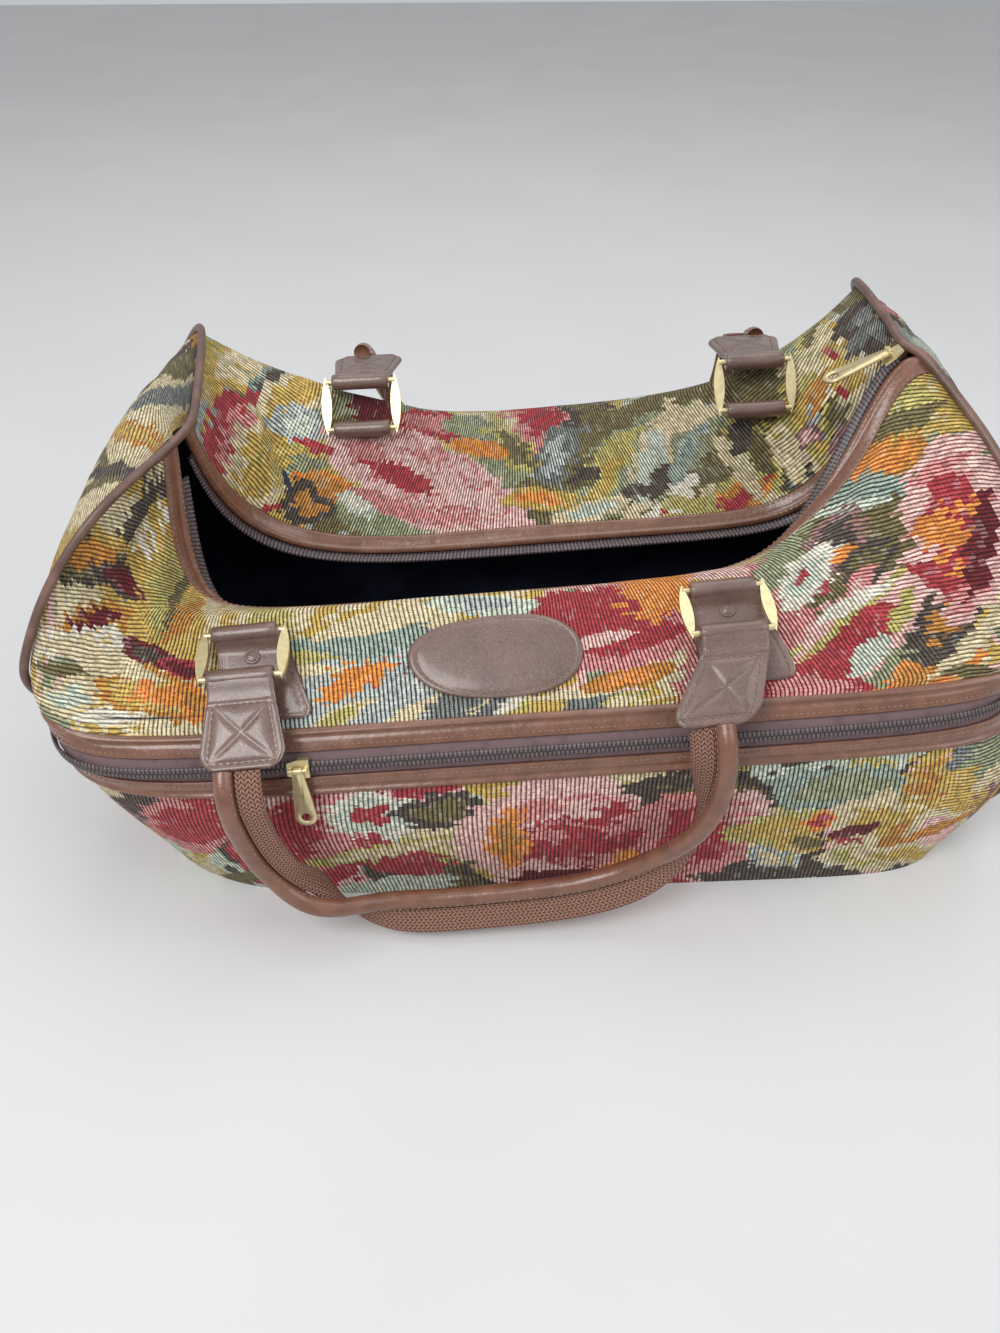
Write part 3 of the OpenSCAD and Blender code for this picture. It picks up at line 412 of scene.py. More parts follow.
class Sock:
    """A socket in a shader; sums on it add Math nodes."""

    def __init__(self, tree, socket):
        self.tree, self.socket = tree, socket

    def math(self, operation, *values):
        return self.tree.node("ShaderNodeMath", {"operation": operation}, dict(enumerate(values)))

    def __add__(self, other):
        return self.math("ADD", self, other)

    def __sub__(self, other):
        return self.math("SUBTRACT", self, other)

    def __mul__(self, other):
        return self.math("MULTIPLY", self, other)

    def __truediv__(self, other):
        return self.math("DIVIDE", self, other)

    def __rsub__(self, other):
        return self.math("SUBTRACT", other, self)

    __radd__ = __add__
    __rmul__ = __mul__

    def sine(self):
        return self.math("SINE", self)

    def size(self):
        return self.math("ABSOLUTE", self)

    def fraction(self):
        return self.math("FRACT", self)

    def power(self, exponent):
        return self.math("POWER", self, exponent)

    def step(self, low, high):
        """0 below low, 1 above high, smooth between; low may be the greater."""
        return self.tree.node(
            "ShaderNodeMapRange", {"interpolation_type": "SMOOTHSTEP"},
            {"Value": self, "From Min": low, "From Max": high},
        )

    def out(self, name):
        return Sock(self.tree, self.socket.node.outputs[name])


class Finish:
    """A material with one Principled shader."""

    def __init__(self, name, **constants):
        self.material = bpy.data.materials.new(name)
        self.material.use_nodes = True
        self.nodes, self.links = self.material.node_tree.nodes, self.material.node_tree.links
        self.shader = self.nodes["Principled BSDF"]
        for socket, value in constants.items():
            self.shader.inputs[socket.replace("_", " ")].default_value = value

    def node(self, kind, settings=None, sockets=None, output=0):
        """Adds a node: its settings first, then values or links of its sockets."""
        node = self.nodes.new(kind)
        for key, value in (settings or {}).items():
            setattr(node, key, value)
        for key, value in (sockets or {}).items():
            if isinstance(value, Sock):
                self.links.new(value.socket, node.inputs[key])
            else:
                node.inputs[key].default_value = value
        return Sock(self, node.outputs[output])

    def place(self):
        """Object coordinates in millimetres."""
        spot = self.node("ShaderNodeTexCoord", output="Object")
        return self.node("ShaderNodeVectorMath", {"operation": "SCALE"}, {0: spot, "Scale": 1 / MM})

    def threads(self):
        """The piece's own UV in millimetres."""
        return self.node("ShaderNodeUVMap", {"uv_map": "threads"})

    def run_and_climb(self):
        """The two values of the piece's own UV, as sockets."""
        split = self.node("ShaderNodeSeparateXYZ", None, {0: self.threads()})
        return split.out("X"), split.out("Y")

    def noise(self, vector, scale, detail=2.0, roughness=0.5, stretch=None):
        """Noise with a scale for each millimetre, stretched along the axes where that is given."""
        if stretch is not None:
            vector = self.node("ShaderNodeMapping", None, {"Vector": vector, "Scale": stretch})
        sockets = {"Vector": vector, "Scale": scale, "Detail": detail, "Roughness": roughness}
        return self.node("ShaderNodeTexNoise", None, sockets)

    def blend(self, a, b, k, blend_type="MIX"):
        """Mix of two colours."""
        settings = {"data_type": "RGBA", "blend_type": blend_type}
        return self.node("ShaderNodeMix", settings, {"Factor": k, 6: a, 7: b}, output=2)

    def bump(self, height, strength, distance):
        """Relief of the surface; distance in millimetres."""
        sockets = {"Height": height, "Strength": strength, "Distance": distance * MM}
        self.feed(Normal=self.node("ShaderNodeBump", None, sockets))

    def feed(self, **links):
        """Links values to the shader and gives the material."""
        for socket, value in links.items():
            self.links.new(value.socket, self.shader.inputs[socket.replace("_", " ")])
        return self.material


def linear(colour):
    """Colours written from 0 to 255 as seen, as linear light with an alpha of one."""
    c = np.clip(np.asarray(colour, float), 0, 255) / 255
    c = np.where(c <= 0.04045, c / 12.92, ((c + 0.055) / 1.055) ** 2.4)
    return np.concatenate([c, np.ones_like(c[..., :1])], -1)


def shaded(colour, k):
    """A colour made darker or paler, with an alpha of one."""
    return (*(c * k for c in colour[:3]), 1.0)


def tapestry(colours):
    """Ribbed tapestry: broken pale ribs over a coloured ground, painted shade in the gaps between the ribs,
    and fine weft lines across them with painted shade in the grooves between the lines.
    """
    f = Finish("tapestry", Roughness=0.95, Specular_IOR_Level=0.12, Sheen_Weight=0.08, Sheen_Roughness=0.6)
    u, v = f.run_and_climb()
    ground, rib = (f.node("ShaderNodeVertexColor", {"layer_name": name}) for name in ("ground", "rib"))
    upright = ground.out("Alpha")
    lump = f.noise(f.place(), 0.35, 3.0)
    stray = f.noise(f.place(), 0.035, 2.0)

    def either(along_u, along_v):
        return along_u * upright + along_v * (1 - upright)

    def ridges(value):
        return (value * math.pi).sine().size()

    wave = either(ridges(u / RIB_PITCH + lump * 0.3), ridges(v / RIB_PITCH + lump * 0.35 + stray * 2.2))
    weft = either(ridges(v / WEFT_PITCH + lump * 0.5), ridges(u / WEFT_PITCH + lump * 0.5))
    hair = either(*(f.noise(f.threads(), 0.8, 3.0, 0.65, stretch) for stretch in ((1, 0.3, 1), (0.3, 1, 1))))
    cord = wave.step(0.34, 0.8) * (0.45 + 0.55 * hair.step(0.36, 0.5))
    # Painted shade: the gaps between the ribs are darkened, more deeply where the ribs stand upright.
    gap = wave.step(0.4, 0.0) * (0.5 + 0.35 * upright)
    tone = f.blend(f.blend(ground, rib, cord), (0.3, 0.26, 0.24, 1), gap, "MULTIPLY")
    # Painted shade in the grooves between the fine weft lines.
    tone = f.blend(tone, (0.5, 0.48, 0.46, 1), weft.step(0.42, 0.0) * 0.45, "MULTIPLY")
    f.bump(wave.power(0.7) * 0.9 + weft * 0.2 + lump * 0.3, 1.0, 1.2)
    return f.feed(Base_Color=tone)


def leather(colours):
    """Taupe leather: fine pebbled grain, soft creases and a worn gloss."""
    base = colours.leather
    f = Finish("leather", Specular_IOR_Level=0.7, Coat_Roughness=0.18)
    spot = f.place()
    cloud = f.noise(spot, 0.05, 4.0)
    grain = f.node("ShaderNodeTexVoronoi", {"feature": "DISTANCE_TO_EDGE"}, {"Vector": spot, "Scale": 1.1})
    crease = f.noise(spot, 0.2, 5.0, 0.62)
    tone = f.blend(shaded(base, 0.82), shaded(base, 1.16), cloud.step(0.3, 0.72))
    tone = f.blend(tone, shaded(base, 0.55), grain.step(0.08, 0.0) * 0.4)
    f.bump(grain.step(0.0, 0.25) * 0.4 + crease * 1.3, 0.4, 0.6)
    return f.feed(Base_Color=tone, Roughness=0.18 + 0.24 * crease, Coat_Weight=0.45 + 0.5 * cloud)


def vinyl(colours):
    """Brown vinyl binding: smooth, streaked along its length, with small buckles and a gloss."""
    base = colours.vinyl
    f = Finish("vinyl", Specular_IOR_Level=0.6, Coat_Roughness=0.2)
    spot = f.place()
    streak = f.noise(spot, 0.09, 4.0, 0.6)
    fine = f.noise(spot, 0.7, 3.0)
    tone = f.blend(shaded(base, 0.8), shaded(base, 1.15), streak.step(0.3, 0.7))
    tone = f.blend(tone, shaded(base, 0.6), fine.step(0.6, 0.78) * 0.25)
    f.bump(streak * 2.2 + fine * 0.2, 0.5, 1.0)
    return f.feed(Base_Color=tone, Roughness=0.24 + 0.18 * fine, Coat_Weight=0.2 + 0.4 * streak)


def piping_vinyl(colours):
    """Darker vinyl over cord, rubbed paler in places."""
    f = Finish("piping_vinyl", Specular_IOR_Level=0.6)
    spot = f.place()
    rub = f.noise(spot, 0.06, 4.0, 0.6)
    fine = f.noise(spot, 1.1, 3.0)
    tone = f.blend(shaded(colours.piping, 0.7), shaded(colours.piping, 1.45), rub.step(0.35, 0.75))
    f.bump(fine, 0.3, 0.4)
    return f.feed(Base_Color=tone, Roughness=0.3 + 0.25 * rub)


def brass(colours):
    """Pale plated brass with fine scratches and dull spots."""
    f = Finish("brass", Metallic=0.85)
    spot = f.place()
    dull = f.noise(spot, 0.25, 4.0, 0.6)
    scratch = f.noise(spot, 1.2, 3.0, 0.6, (1.0, 1.0, 9.0))
    tone = f.blend(shaded(colours.brass, 0.78), shaded(colours.brass, 1), dull.step(0.25, 0.6))
    f.bump(scratch, 0.12, 0.15)
    return f.feed(Base_Color=tone, Roughness=0.28 + 0.22 * scratch)


def zip_tape_cloth(colours):
    """Grey mauve woven tape: a fine twill across its width, with painted shade in its troughs and painted
    highlight on its ridges.
    """
    base = colours.tape
    f = Finish("zip_tape_cloth", Roughness=0.85, Specular_IOR_Level=0.25)
    u, v = f.run_and_climb()
    twill = ((u * 0.9 + v * 1.3) * math.pi).sine().size()
    cloud = f.noise(f.place(), 0.12, 3.0)
    # Painted shade in the troughs of the twill and painted highlight on its ridges.
    tone = f.blend(shaded(base, 0.5), shaded(base, 1.2), twill.step(0.1, 0.8))
    tone = f.blend(tone, shaded(base, 0.75), cloud.step(0.45, 0.75))
    f.bump(twill, 0.5, 0.35)
    return f.feed(Base_Color=tone)


def coil(colours):
    """Nylon coil: glossy crowns at each tooth, half a pitch apart on the two sides, with painted shade in the
    gaps between the teeth and along the middle where the two sides meet.
    """
    base = colours.coil
    f = Finish("coil", Specular_IOR_Level=0.6)
    u, v = f.run_and_climb()
    crown = ((u / tooth_pitch() + v.step(-0.4, 0.4) * 0.5) * math.pi).sine().size()
    cloud = f.noise(f.place(), 0.4, 3.0)
    tone = f.blend(shaded(base, 0.75), shaded(base, 1.3), cloud.step(0.3, 0.7))
    # Painted shade: near black in the gaps between the teeth.
    tone = f.blend(shaded(base, 0.04), tone, crown.step(0.35, 0.75))
    # Painted shade along the middle of the closed chain, where the two sides of the coil meet.
    tone = f.blend(tone, shaded(base, 0.08), v.size().step(0.6, 0.2) * 0.8)
    return f.feed(Base_Color=tone, Roughness=0.34 + 0.2 * cloud)


def braid(colours):
    """Braided webbing: thick yarns in chevrons, with painted shade in the holes between them and a painted
    highlight in patches on the raised yarns.
    """
    base = colours.webbing
    yarn, chevron = 1.8, 2.6
    f = Finish("braid", Roughness=0.75, Specular_IOR_Level=0.35)
    u, v = f.run_and_climb()
    hair = f.noise(f.place(), 1.2, 3.0)
    lean = ((v / (2 * yarn)).fraction() - 0.5).size()
    plait = ((u / chevron + lean * 1.5 + hair * 0.25) * math.pi).sine().size()
    ridge = ((v / yarn) * math.pi).sine().size()
    knot = plait.power(0.8) * (0.35 + 0.65 * ridge)
    # Painted shade: dark in the holes between the yarns, a little paler where the yarns stand highest.
    tone = f.blend(shaded(base, 0.16), shaded(base, 1.1), knot.step(0.12, 0.6))
    # Painted highlight on the raised yarns, broken into patches by noise.
    tone = f.blend(tone, shaded(base, 1.7), hair.step(0.5, 0.72) * knot * 0.6)
    f.bump(knot, 1.0, 1.3)
    return f.feed(Base_Color=tone)


def lining_cloth(colours):
    """Near-black navy lining with a soft plain weave."""
    f = Finish("lining_cloth", Roughness=0.75, Specular_IOR_Level=0.25)
    cloud = f.noise(f.place(), 0.03, 4.0)
    weave = f.noise(f.place(), 1.6, 2.0)
    f.bump(cloud * 3.0 + weave * 0.2, 0.5, 1.5)
    tone = f.blend(shaded(colours.lining, 0.6), shaded(colours.lining, 1.6), cloud.step(0.3, 0.7))
    return f.feed(Base_Color=tone)


def thread(colours):
    """Sewing thread, pale brown with darker twists."""
    f = Finish("thread", Roughness=0.7)
    twist = f.noise(f.place(), 0.8, 2.0).step(0.3, 0.7)
    return f.feed(Base_Color=f.blend(shaded(colours.thread, 0.7), shaded(colours.thread, 1.2), twist))


FINISHES = {finish.__name__: finish for finish in (
    tapestry, leather, vinyl, piping_vinyl, brass, zip_tape_cloth, coil, braid, lining_cloth, thread)}
MATERIALS = {}


def finish_of(name):
    """The material of that name, made when it is first asked for."""
    if name not in MATERIALS:
        MATERIALS[name] = FINISHES[name](bpy.context.scene.bag_colours)
    return MATERIALS[name]


# The yarn colours of the tapestry and where they lie

# Each colour is a ground and the ribs over it
YARN = {
    "cream": ((160, 142, 104), (230, 216, 178)), "gold": ((136, 106, 46), (212, 182, 102)),
    "ochre": ((140, 84, 34), (206, 148, 76)), "orange": ((190, 90, 36), (232, 160, 84)),
    "crimson": ((138, 42, 52), (180, 72, 76)), "rosy": ((142, 44, 54), (222, 158, 152)),
    "pink": ((176, 108, 106), (238, 204, 194)), "maroon": ((80, 30, 36), (116, 48, 52)),
    "teal": ((50, 78, 74), (172, 184, 168)), "green": ((66, 80, 60), (172, 174, 138)),
    "leaf": ((112, 104, 48), (206, 194, 122)), "olive": ((66, 60, 42), (132, 120, 82)),
    "dark": ((46, 40, 38), (100, 89, 79)), "mint": ((124, 142, 126), (216, 220, 202)),
    "blue": ((78, 92, 98), (196, 200, 192)), "white": ((186, 178, 160), (240, 233, 214)),
    "mauve": ((100, 68, 70), (164, 126, 122)), "slate": ((56, 62, 64), (138, 140, 134)),
}


def hashed(*values):
    """Numbers from 0 to 1 that follow from the given ones alone."""
    total = sum(v * k for v, k in zip(values, (127.1, 311.7, 74.7)))
    return np.abs(np.sin(total) * 43758.5453) % 1


def field_noise(x, y, size, seed):
    """Smooth value noise from 0 to 1 on squares of the given size."""
    x, y = x / size, y / size
    i, j = np.floor(x), np.floor(y)
    fx, fy = ease(x - i), ease(y - j)
    corner = [[hashed(i + a, j + b, seed) for b in (0, 1)] for a in (0, 1)]
    return mix(mix(corner[0][0], corner[1][0], fx), mix(corner[0][1], corner[1][1], fx), fy)


# Motifs: kind, g, v, length and width in mm, turn in degrees, colours from the outside in
MOTIFS = {
    "front": [
        ("blot", 0.101, 3.66, 190, 120, -19, "cream gold"), ("blot", 0.025, 3.19, 83, 45, 26, "gold cream"),
        ("blot", 0, 3.66, 39, 22, 47, "dark olive"), ("leaf", 0.02, 4, 42, 14, -61, "cream"),
        ("leaf", 0.06, 4, 55, 14, -61, "white"), ("leaf", 0.03, 3.59, 55, 11, -64, "dark"),
        ("blot", 0.03, 2.64, 39, 32, -39, "dark olive ochre"),
        ("leaf", 0.086, 2.85, 41, 16, 0, "dark maroon"),
        ("leaf", 0.03, 2.92, 38, 8, 6, "gold"), ("blot", 0.151, 3.32, 60, 36, -32, "gold leaf"),
        ("leaf", 0.141, 4, 62, 7, -59, "olive"), ("leaf", 0.216, 4, 85, 11, -66, "cream"),
        ("blot", 0.297, 4, 190, 45, -52, "cream leaf"), ("leaf", 0.216, 2.78, 41, 10, 64, "ochre"),
        ("blot", 0.091, 2.24, 31, 18, 51, "ochre maroon"), ("leaf", 0.156, 2.17, 46, 11, 2, "gold"),
        ("blot", 0.06, 1.76, 41, 20, 44, "white cream"), ("leaf", 0.106, 1.83, 48, 8, 11, "cream"),
        ("blot", 0.191, 2.03, 32, 14, -6, "maroon dark"),
        ("leaf", 0.241, 1.83, 34, 12, -17, "crimson maroon"),
        ("blot", 0.206, 1.49, 59, 26, 5, "ochre gold orange"),
        ("blot", 0.251, 1.36, 28, 20, -10, "orange ochre"),
        ("leaf", 0.171, 1.76, 47, 7, -2, "cream"), ("blot", 0.096, 1.29, 31, 23, 41, "cream mint"),
        ("leaf", 0.156, 1.15, 42, 8, 12, "white"), ("leaf", 0.07, 1.49, 28, 8, 15, "olive"),
        ("blot", 0.392, 1.42, 132, 68, -4, "blue"), ("blot", 0.387, 2.17, 83, 21, -5, "teal"),
        ("blot", 0.417, 2.58, 95, 13, -1, "cream"), ("leaf", 0.327, 1.9, 67, 12, -4, "leaf"),
        ("leaf", 0.337, 1.69, 66, 8, 1, "cream"), ("blot", 0.392, 1.49, 46, 29, 12, "orange"),
        ("blot", 0.397, 1.36, 20, 10, 6, "crimson"), ("blot", 0.417, 1.56, 13, 13, 1, "crimson"),
        ("blot", 0.422, 1.42, 14, 10, -4, "white"), ("blot", 0.377, 0.47, 76, 25, 15, "blue"),
        ("leaf", 0.362, 0, 58, 14, 21, "cream leaf"), ("leaf", 0.412, 0, 63, 10, 26, "cream"),
        ("blot", 0.447, 0.88, 31, 27, 30, "slate"), ("blot", 0.477, 0.95, 31, 22, -4, "cream white"),
        ("leaf", 0.467, 0, 39, 9, 51, "slate"), ("leaf", 0.497, 1.22, 33, 8, -10, "mauve"),
        ("leaf", 0.508, 0, 54, 20, 8, "leaf gold"), ("blot", 0.538, 0, 30, 19, -6, "slate"),
        ("leaf", 0.553, 0, 43, 11, 27, "leaf cream"), ("leaf", 0.543, 1.15, 71, 8, 0, "cream"),
        ("blot", 0.568, 1.29, 54, 11, -2, "ochre orange"), ("leaf", 0.573, 1.56, 55, 9, -1, "teal"),
        ("blot", 0.568, 2.1, 112, 52, -9, "rosy crimson"), ("blot", 0.543, 2.51, 60, 23, -11, "crimson"),
        ("blot", 0.628, 3.12, 48, 32, -39, "orange"), ("leaf", 0.588, 1.83, 59, 13, -4, "crimson"),
        ("leaf", 0.553, 1.83, 44, 8, 1, "pink"), ("blot", 0.472, 2.78, 67, 15, -15, "mint blue"),
        ("blot", 0.658, 1.49, 93, 56, 49, "rosy pink"), ("blot", 0.829, 2.58, 190, 116, 52, "green olive"),
        ("blot", 0.764, 1.56, 94, 43, -1, "pink"), ("blot", 0.703, 1.63, 67, 32, 52, "rosy"),
        ("leaf", 0.774, 1.76, 82, 9, 9, "leaf"), ("blot", 0.764, 1.49, 60, 20, 2, "crimson"),
        ("blot", 0.779, 1.36, 26, 12, -1, "mint"), ("blot", 0.709, 0.54, 92, 25, -1, "crimson rosy"),
        ("leaf", 0.683, 1.29, 45, 8, 4, "leaf"), ("blot", 0.819, 0.88, 65, 22, -1, "orange ochre"),
        ("leaf", 0.879, 1.29, 56, 12, 9, "cream"), ("leaf", 0.864, 0.68, 36, 9, -6, "olive"),
        ("blot", 0.869, 1.63, 43, 30, 5, "dark dark ochre"), ("blot", 0.834, 1.83, 17, 12, 33, "leaf"),
        ("blot", 0.945, 3.93, 70, 47, -66, "gold leaf"), ("blot", 0.899, 3.73, 52, 32, -30, "ochre orange"),
        ("leaf", 0.94, 3.66, 43, 13, -5, "olive"), ("blot", 0.874, 3.59, 62, 16, -37, "teal"),
        ("leaf", 0.859, 3.46, 47, 8, -34, "mint"), ("blot", 0.829, 3.05, 36, 30, -27, "mauve dark"),
        ("leaf", 0.814, 2.78, 40, 8, -25, "orange"), ("blot", 0.834, 2.51, 31, 19, -15, "dark olive"),
        ("blot", 0.769, 2.51, 34, 24, 11, "white mint"), ("blot", 0.769, 2.58, 8, 6, 31, "crimson"),
        ("blot", 0.779, 2.31, 8, 5, 39, "crimson"), ("blot", 0.809, 2.24, 23, 16, 2, "rosy pink"),
        ("leaf", 0.794, 2.03, 49, 8, -11, "white"), ("blot", 0.935, 2.51, 102, 60, 65, "pink"),
        ("rose", 0.93, 2.44, 87, 49, 65, "pink rosy crimson crimson orange crimson"),
        ("blot", 0.914, 2.51, 32, 23, 77, "orange"), ("leaf", 0.945, 2.31, 64, 17, 57, "maroon"),
        ("leaf", 0.94, 3.05, 40, 10, 2, "rosy"), ("leaf", 0.879, 2.17, 32, 11, -47, "crimson"),
    ],
    "back": [
        ("blot", 2.663, 3.46, 190, 101, 5, "green leaf"), ("blot", 2.362, 3.53, 190, 85, -1, "olive green"),
        ("blot", 2.945, 3.19, 68, 31, 82, "gold cream"), ("blot", 2.889, 3.19, 59, 27, 83, "teal dark"),
        ("blot", 2.914, 3.66, 84, 39, 81, "crimson rosy"), ("leaf", 2.889, 3.8, 51, 18, -38, "crimson"),
        ("blot", 2.839, 4, 29, 21, 40, "crimson"), ("blot", 2.829, 2.92, 190, 37, 70, "cream gold"),
        ("blot", 2.829, 3.39, 39, 23, 31, "blue mint"), ("leaf", 2.804, 3.59, 63, 24, 30, "leaf gold green"),
        ("leaf", 2.794, 3.46, 35, 8, 14, "crimson"), ("blot", 2.759, 3.66, 39, 19, 16, "orange ochre"),
        ("blot", 2.774, 3.8, 33, 27, 12, "dark dark ochre"), ("blot", 2.698, 3.73, 29, 13, 4, "mint white"),
        ("blot", 2.734, 3.12, 29, 27, 43, "maroon"), ("leaf", 2.764, 3.25, 19, 12, 20, "olive"),
        ("blot", 2.643, 3.12, 48, 26, 8, "crimson rosy"), ("blot", 2.578, 3.12, 40, 15, 2, "green"),
        ("blot", 2.613, 3.59, 135, 58, -8, "pink"),
        ("rose", 2.613, 3.53, 120, 50, -7, "pink rosy pink rosy pink"),
        ("leaf", 2.658, 3.53, 58, 14, 0, "crimson"), ("leaf", 2.558, 3.66, 59, 13, 0, "pink"),
        ("leaf", 2.643, 3.73, 71, 13, 0, "rosy"), ("leaf", 2.508, 3.32, 49, 20, -41, "leaf olive"),
        ("blot", 2.558, 3.32, 36, 13, -2, "orange"), ("blot", 2.482, 3.73, 54, 17, -4, "gold orange"),
        ("blot", 2.452, 3.39, 39, 28, 66, "slate blue"), ("leaf", 2.412, 3.53, 50, 21, -2, "olive dark"),
        ("leaf", 2.402, 3.59, 52, 19, 35, "leaf gold"), ("leaf", 2.377, 3.39, 41, 14, 8, "leaf"),
        ("blot", 2.347, 3.53, 78, 21, 60, "cream mint"), ("leaf", 2.302, 3.53, 67, 18, 47, "blue teal"),
        ("blot", 2.387, 3.73, 19, 13, 42, "dark"), ("blot", 2.352, 3.66, 21, 14, 38, "dark"),
        ("blot", 2.352, 3.86, 36, 23, 15, "white"), ("blot", 2.357, 3.86, 10, 7, 27, "crimson"),
        ("blot", 2.261, 3.86, 43, 24, -10, "orange ochre crimson"), ("blot", 2.312, 4, 14, 10, 26, "crimson"),
        ("leaf", 2.206, 3.59, 74, 23, -76, "leaf olive"), ("leaf", 2.241, 3.66, 65, 12, -73, "cream"),
        ("blot", 2.206, 3.46, 25, 16, 55, "dark"), ("blot", 2.186, 4, 27, 19, -43, "dark slate"),
        ("leaf", 2.256, 3.25, 59, 15, -18, "cream"), ("blot", 2.146, 3.73, 22, 12, -49, "mauve pink"),
        ("leaf", 2.327, 3.93, 59, 13, -37, "leaf"), ("blot", 2.437, 3.86, 57, 14, -3, "cream mint"),
        ("blot", 2.075, 3.59, 70, 34, 77, "cream gold"), ("blot", 2.07, 3.46, 13, 8, -83, "crimson"),
        ("blot", 2.091, 3.73, 10, 7, -65, "crimson"), ("leaf", 2.106, 3.59, 30, 11, 35, "ochre"),
        ("blot", 2.03, 3.59, 58, 29, 80, "dark slate"), ("leaf", 2.186, 3.8, 58, 10, -86, "cream"),
        ("leaf", 2.116, 4, 36, 12, 1, "mauve"),
    ],
    "left": [
        ("blot", 3.7, 2.6, 170, 140, 0, "gold cream"), ("leaf", 3.3, 3.2, 110, 30, 40, "dark olive"),
        ("leaf", 3.42, 3.5, 100, 14, 45, "cream"), ("leaf", 3.6, 2.9, 120, 18, 40, "ochre gold"),
        ("leaf", 3.8, 2.3, 110, 18, 35, "cream"), ("leaf", 3.9, 3.2, 90, 14, 45, "olive"),
        ("blot", 3.12, 3.7, 60, 44, 0, "cream slate"), ("leaf", 3.7, 1.6, 120, 22, 20, "gold ochre"),
        ("blot", 3.5, 1.2, 80, 50, 0, "cream gold"), ("leaf", 3.9, 1.2, 70, 18, 30, "dark"),
        ("leaf", 3.8, 2.9, 90, 12, 40, "dark"), ("leaf", 3.5, 2.2, 100, 16, 30, "olive"),
        ("leaf", 3.55, 0.6, 130, 20, 10, "ochre"), ("rose", 3.35, 2.2, 60, 56, 0, "orange ochre crimson"),
    ],
    "lower": [
        ("blot", 0.174, 1.72, 97, 53, 37, "mauve dark"), ("blot", 0.134, 2, 55, 17, 57, "cream"),
        ("blot", 0.18, 0.97, 71, 15, 45, "gold"), ("blot", 0.207, 0.97, 49, 19, 47, "green"),
        ("blot", 0.207, 0.62, 42, 14, 44, "cream gold"), ("blot", 0.227, 1.24, 87, 54, 42, "rosy crimson"),
        ("blot", 0.334, 1.03, 127, 87, 61, "crimson rosy"), ("blot", 0.341, 1.79, 62, 26, -4, "pink rosy"),
        ("blot", 0.307, 0.83, 91, 33, 65, "crimson"),
        ("blot", 0.387, 1.38, 48, 36, -3, "white mint mint crimson"),
        ("blot", 0.434, 1.38, 51, 28, -5, "dark olive"), ("leaf", 0.394, 0.76, 113, 18, 3, "leaf cream"),
        ("leaf", 0.407, 0.55, 53, 26, -19, "crimson"), ("leaf", 0.387, 0.21, 85, 19, -2, "mint"),
        ("blot", 0.461, 0.41, 49, 43, -2, "olive dark gold"), ("blot", 0.468, 1.79, 32, 13, -6, "gold"),
        ("blot", 0.534, 0.76, 150, 107, -11, "pink"),
        ("rose", 0.541, 0.76, 132, 94, -11, "pink rosy pink crimson rosy crimson"),
        ("blot", 0.481, 0.83, 58, 24, 89, "orange ochre"), ("blot", 0.568, 0.41, 31, 25, -18, "orange"),
        ("leaf", 0.541, 0.76, 65, 24, 13, "crimson"), ("leaf", 0.521, 0.21, 62, 22, -5, "maroon"),
        ("leaf", 0.574, 1.1, 55, 13, 40, "rosy"), ("blot", 0.628, 1.45, 93, 31, -6, "dark olive"),
        ("blot", 0.748, 1.38, 95, 35, -7, "teal green"), ("blot", 0.654, 1.24, 36, 22, -13, "pink"),
        ("blot", 0.621, 0.76, 91, 64, -75, "rosy crimson"), ("leaf", 0.695, 0.83, 70, 34, 7, "leaf gold"),
        ("blot", 0.728, 0.9, 21, 16, -31, "orange crimson"), ("leaf", 0.721, 0.62, 30, 25, 4, "gold olive"),
        ("blot", 0.801, 0.83, 75, 47, -26, "cream gold"), ("leaf", 0.768, 0.76, 34, 13, 21, "maroon"),
        ("leaf", 0.821, 0.69, 39, 15, 52, "ochre"), ("blot", 0.835, 1.38, 48, 29, -71, "gold ochre"),
        ("leaf", 0.795, 0.34, 68, 28, -13, "cream leaf"), ("blot", 0.688, 0.41, 31, 25, -41, "blue cream"),
        ("leaf", 0.688, 0.14, 102, 16, -4, "dark"), ("leaf", 0.22, 0.14, 63, 17, 30, "olive"),
        ("blot", 0.915, 1.5, 66, 60, 40, "slate green"), ("blot", 0.95, 0.9, 70, 60, 0, "cream mauve"),
        ("blot", 0.872, 1.15, 56, 26, -60, "gold"), ("blot", 0.88, 0.62, 62, 40, -40, "cream pink"),
        ("leaf", 0.868, 0.66, 60, 12, 30, "ochre"), ("blot", 0.86, 0.3, 78, 26, -10, "cream gold"),
        ("leaf", 0.965, 1.0, 34, 22, 50, "gold"),
    ],
}


# Motifs for the ground of a panel: kind, length and width in mm, colours from the outside in
GROUND_MOTIFS = (
    ("rose", 74, 62, "pink rosy crimson pink crimson"), ("leaf", 84, 26, "leaf olive"),
    ("blot", 60, 40, "cream gold"), ("leaf", 78, 22, "teal green"), ("blot", 52, 40, "dark olive"),
    ("rose", 60, 52, "orange ochre crimson"), ("leaf", 70, 18, "cream leaf"), ("blot", 58, 34, "blue mint"),
    ("blot", 66, 44, "rosy crimson"), ("blot", 36, 30, "white mint crimson"),
)
GROUND_ROWS, GROUND_PITCH = 5, 42
# Where each panel keeps only the motifs listed for it
FREE = {
    "front": lambda g, v: True, "right": lambda g, v: False, "back": lambda g, v: v > 2.9,
    "left": lambda g, v: g > 3.5, "lower": lambda g, v: g < 1.05 or g > 3.9,
}
BACKING = linear(((70, 58, 46), (96, 82, 66)))
# In mm: a span of v, fields and their fine part, wobble of outlines, and the width that wobbles in full
SPAN_V, FIELD, FIELD_FINE, WOBBLE, FULL_W = 45.0, 46, 15, 12, 26
# Distance from the middle of a side, in g, within which ribs stand upright, on the panels and on the band
UPRIGHT_PANEL, UPRIGHT_BAND, UPRIGHT_FADE = 0.345, 0.4, 0.05


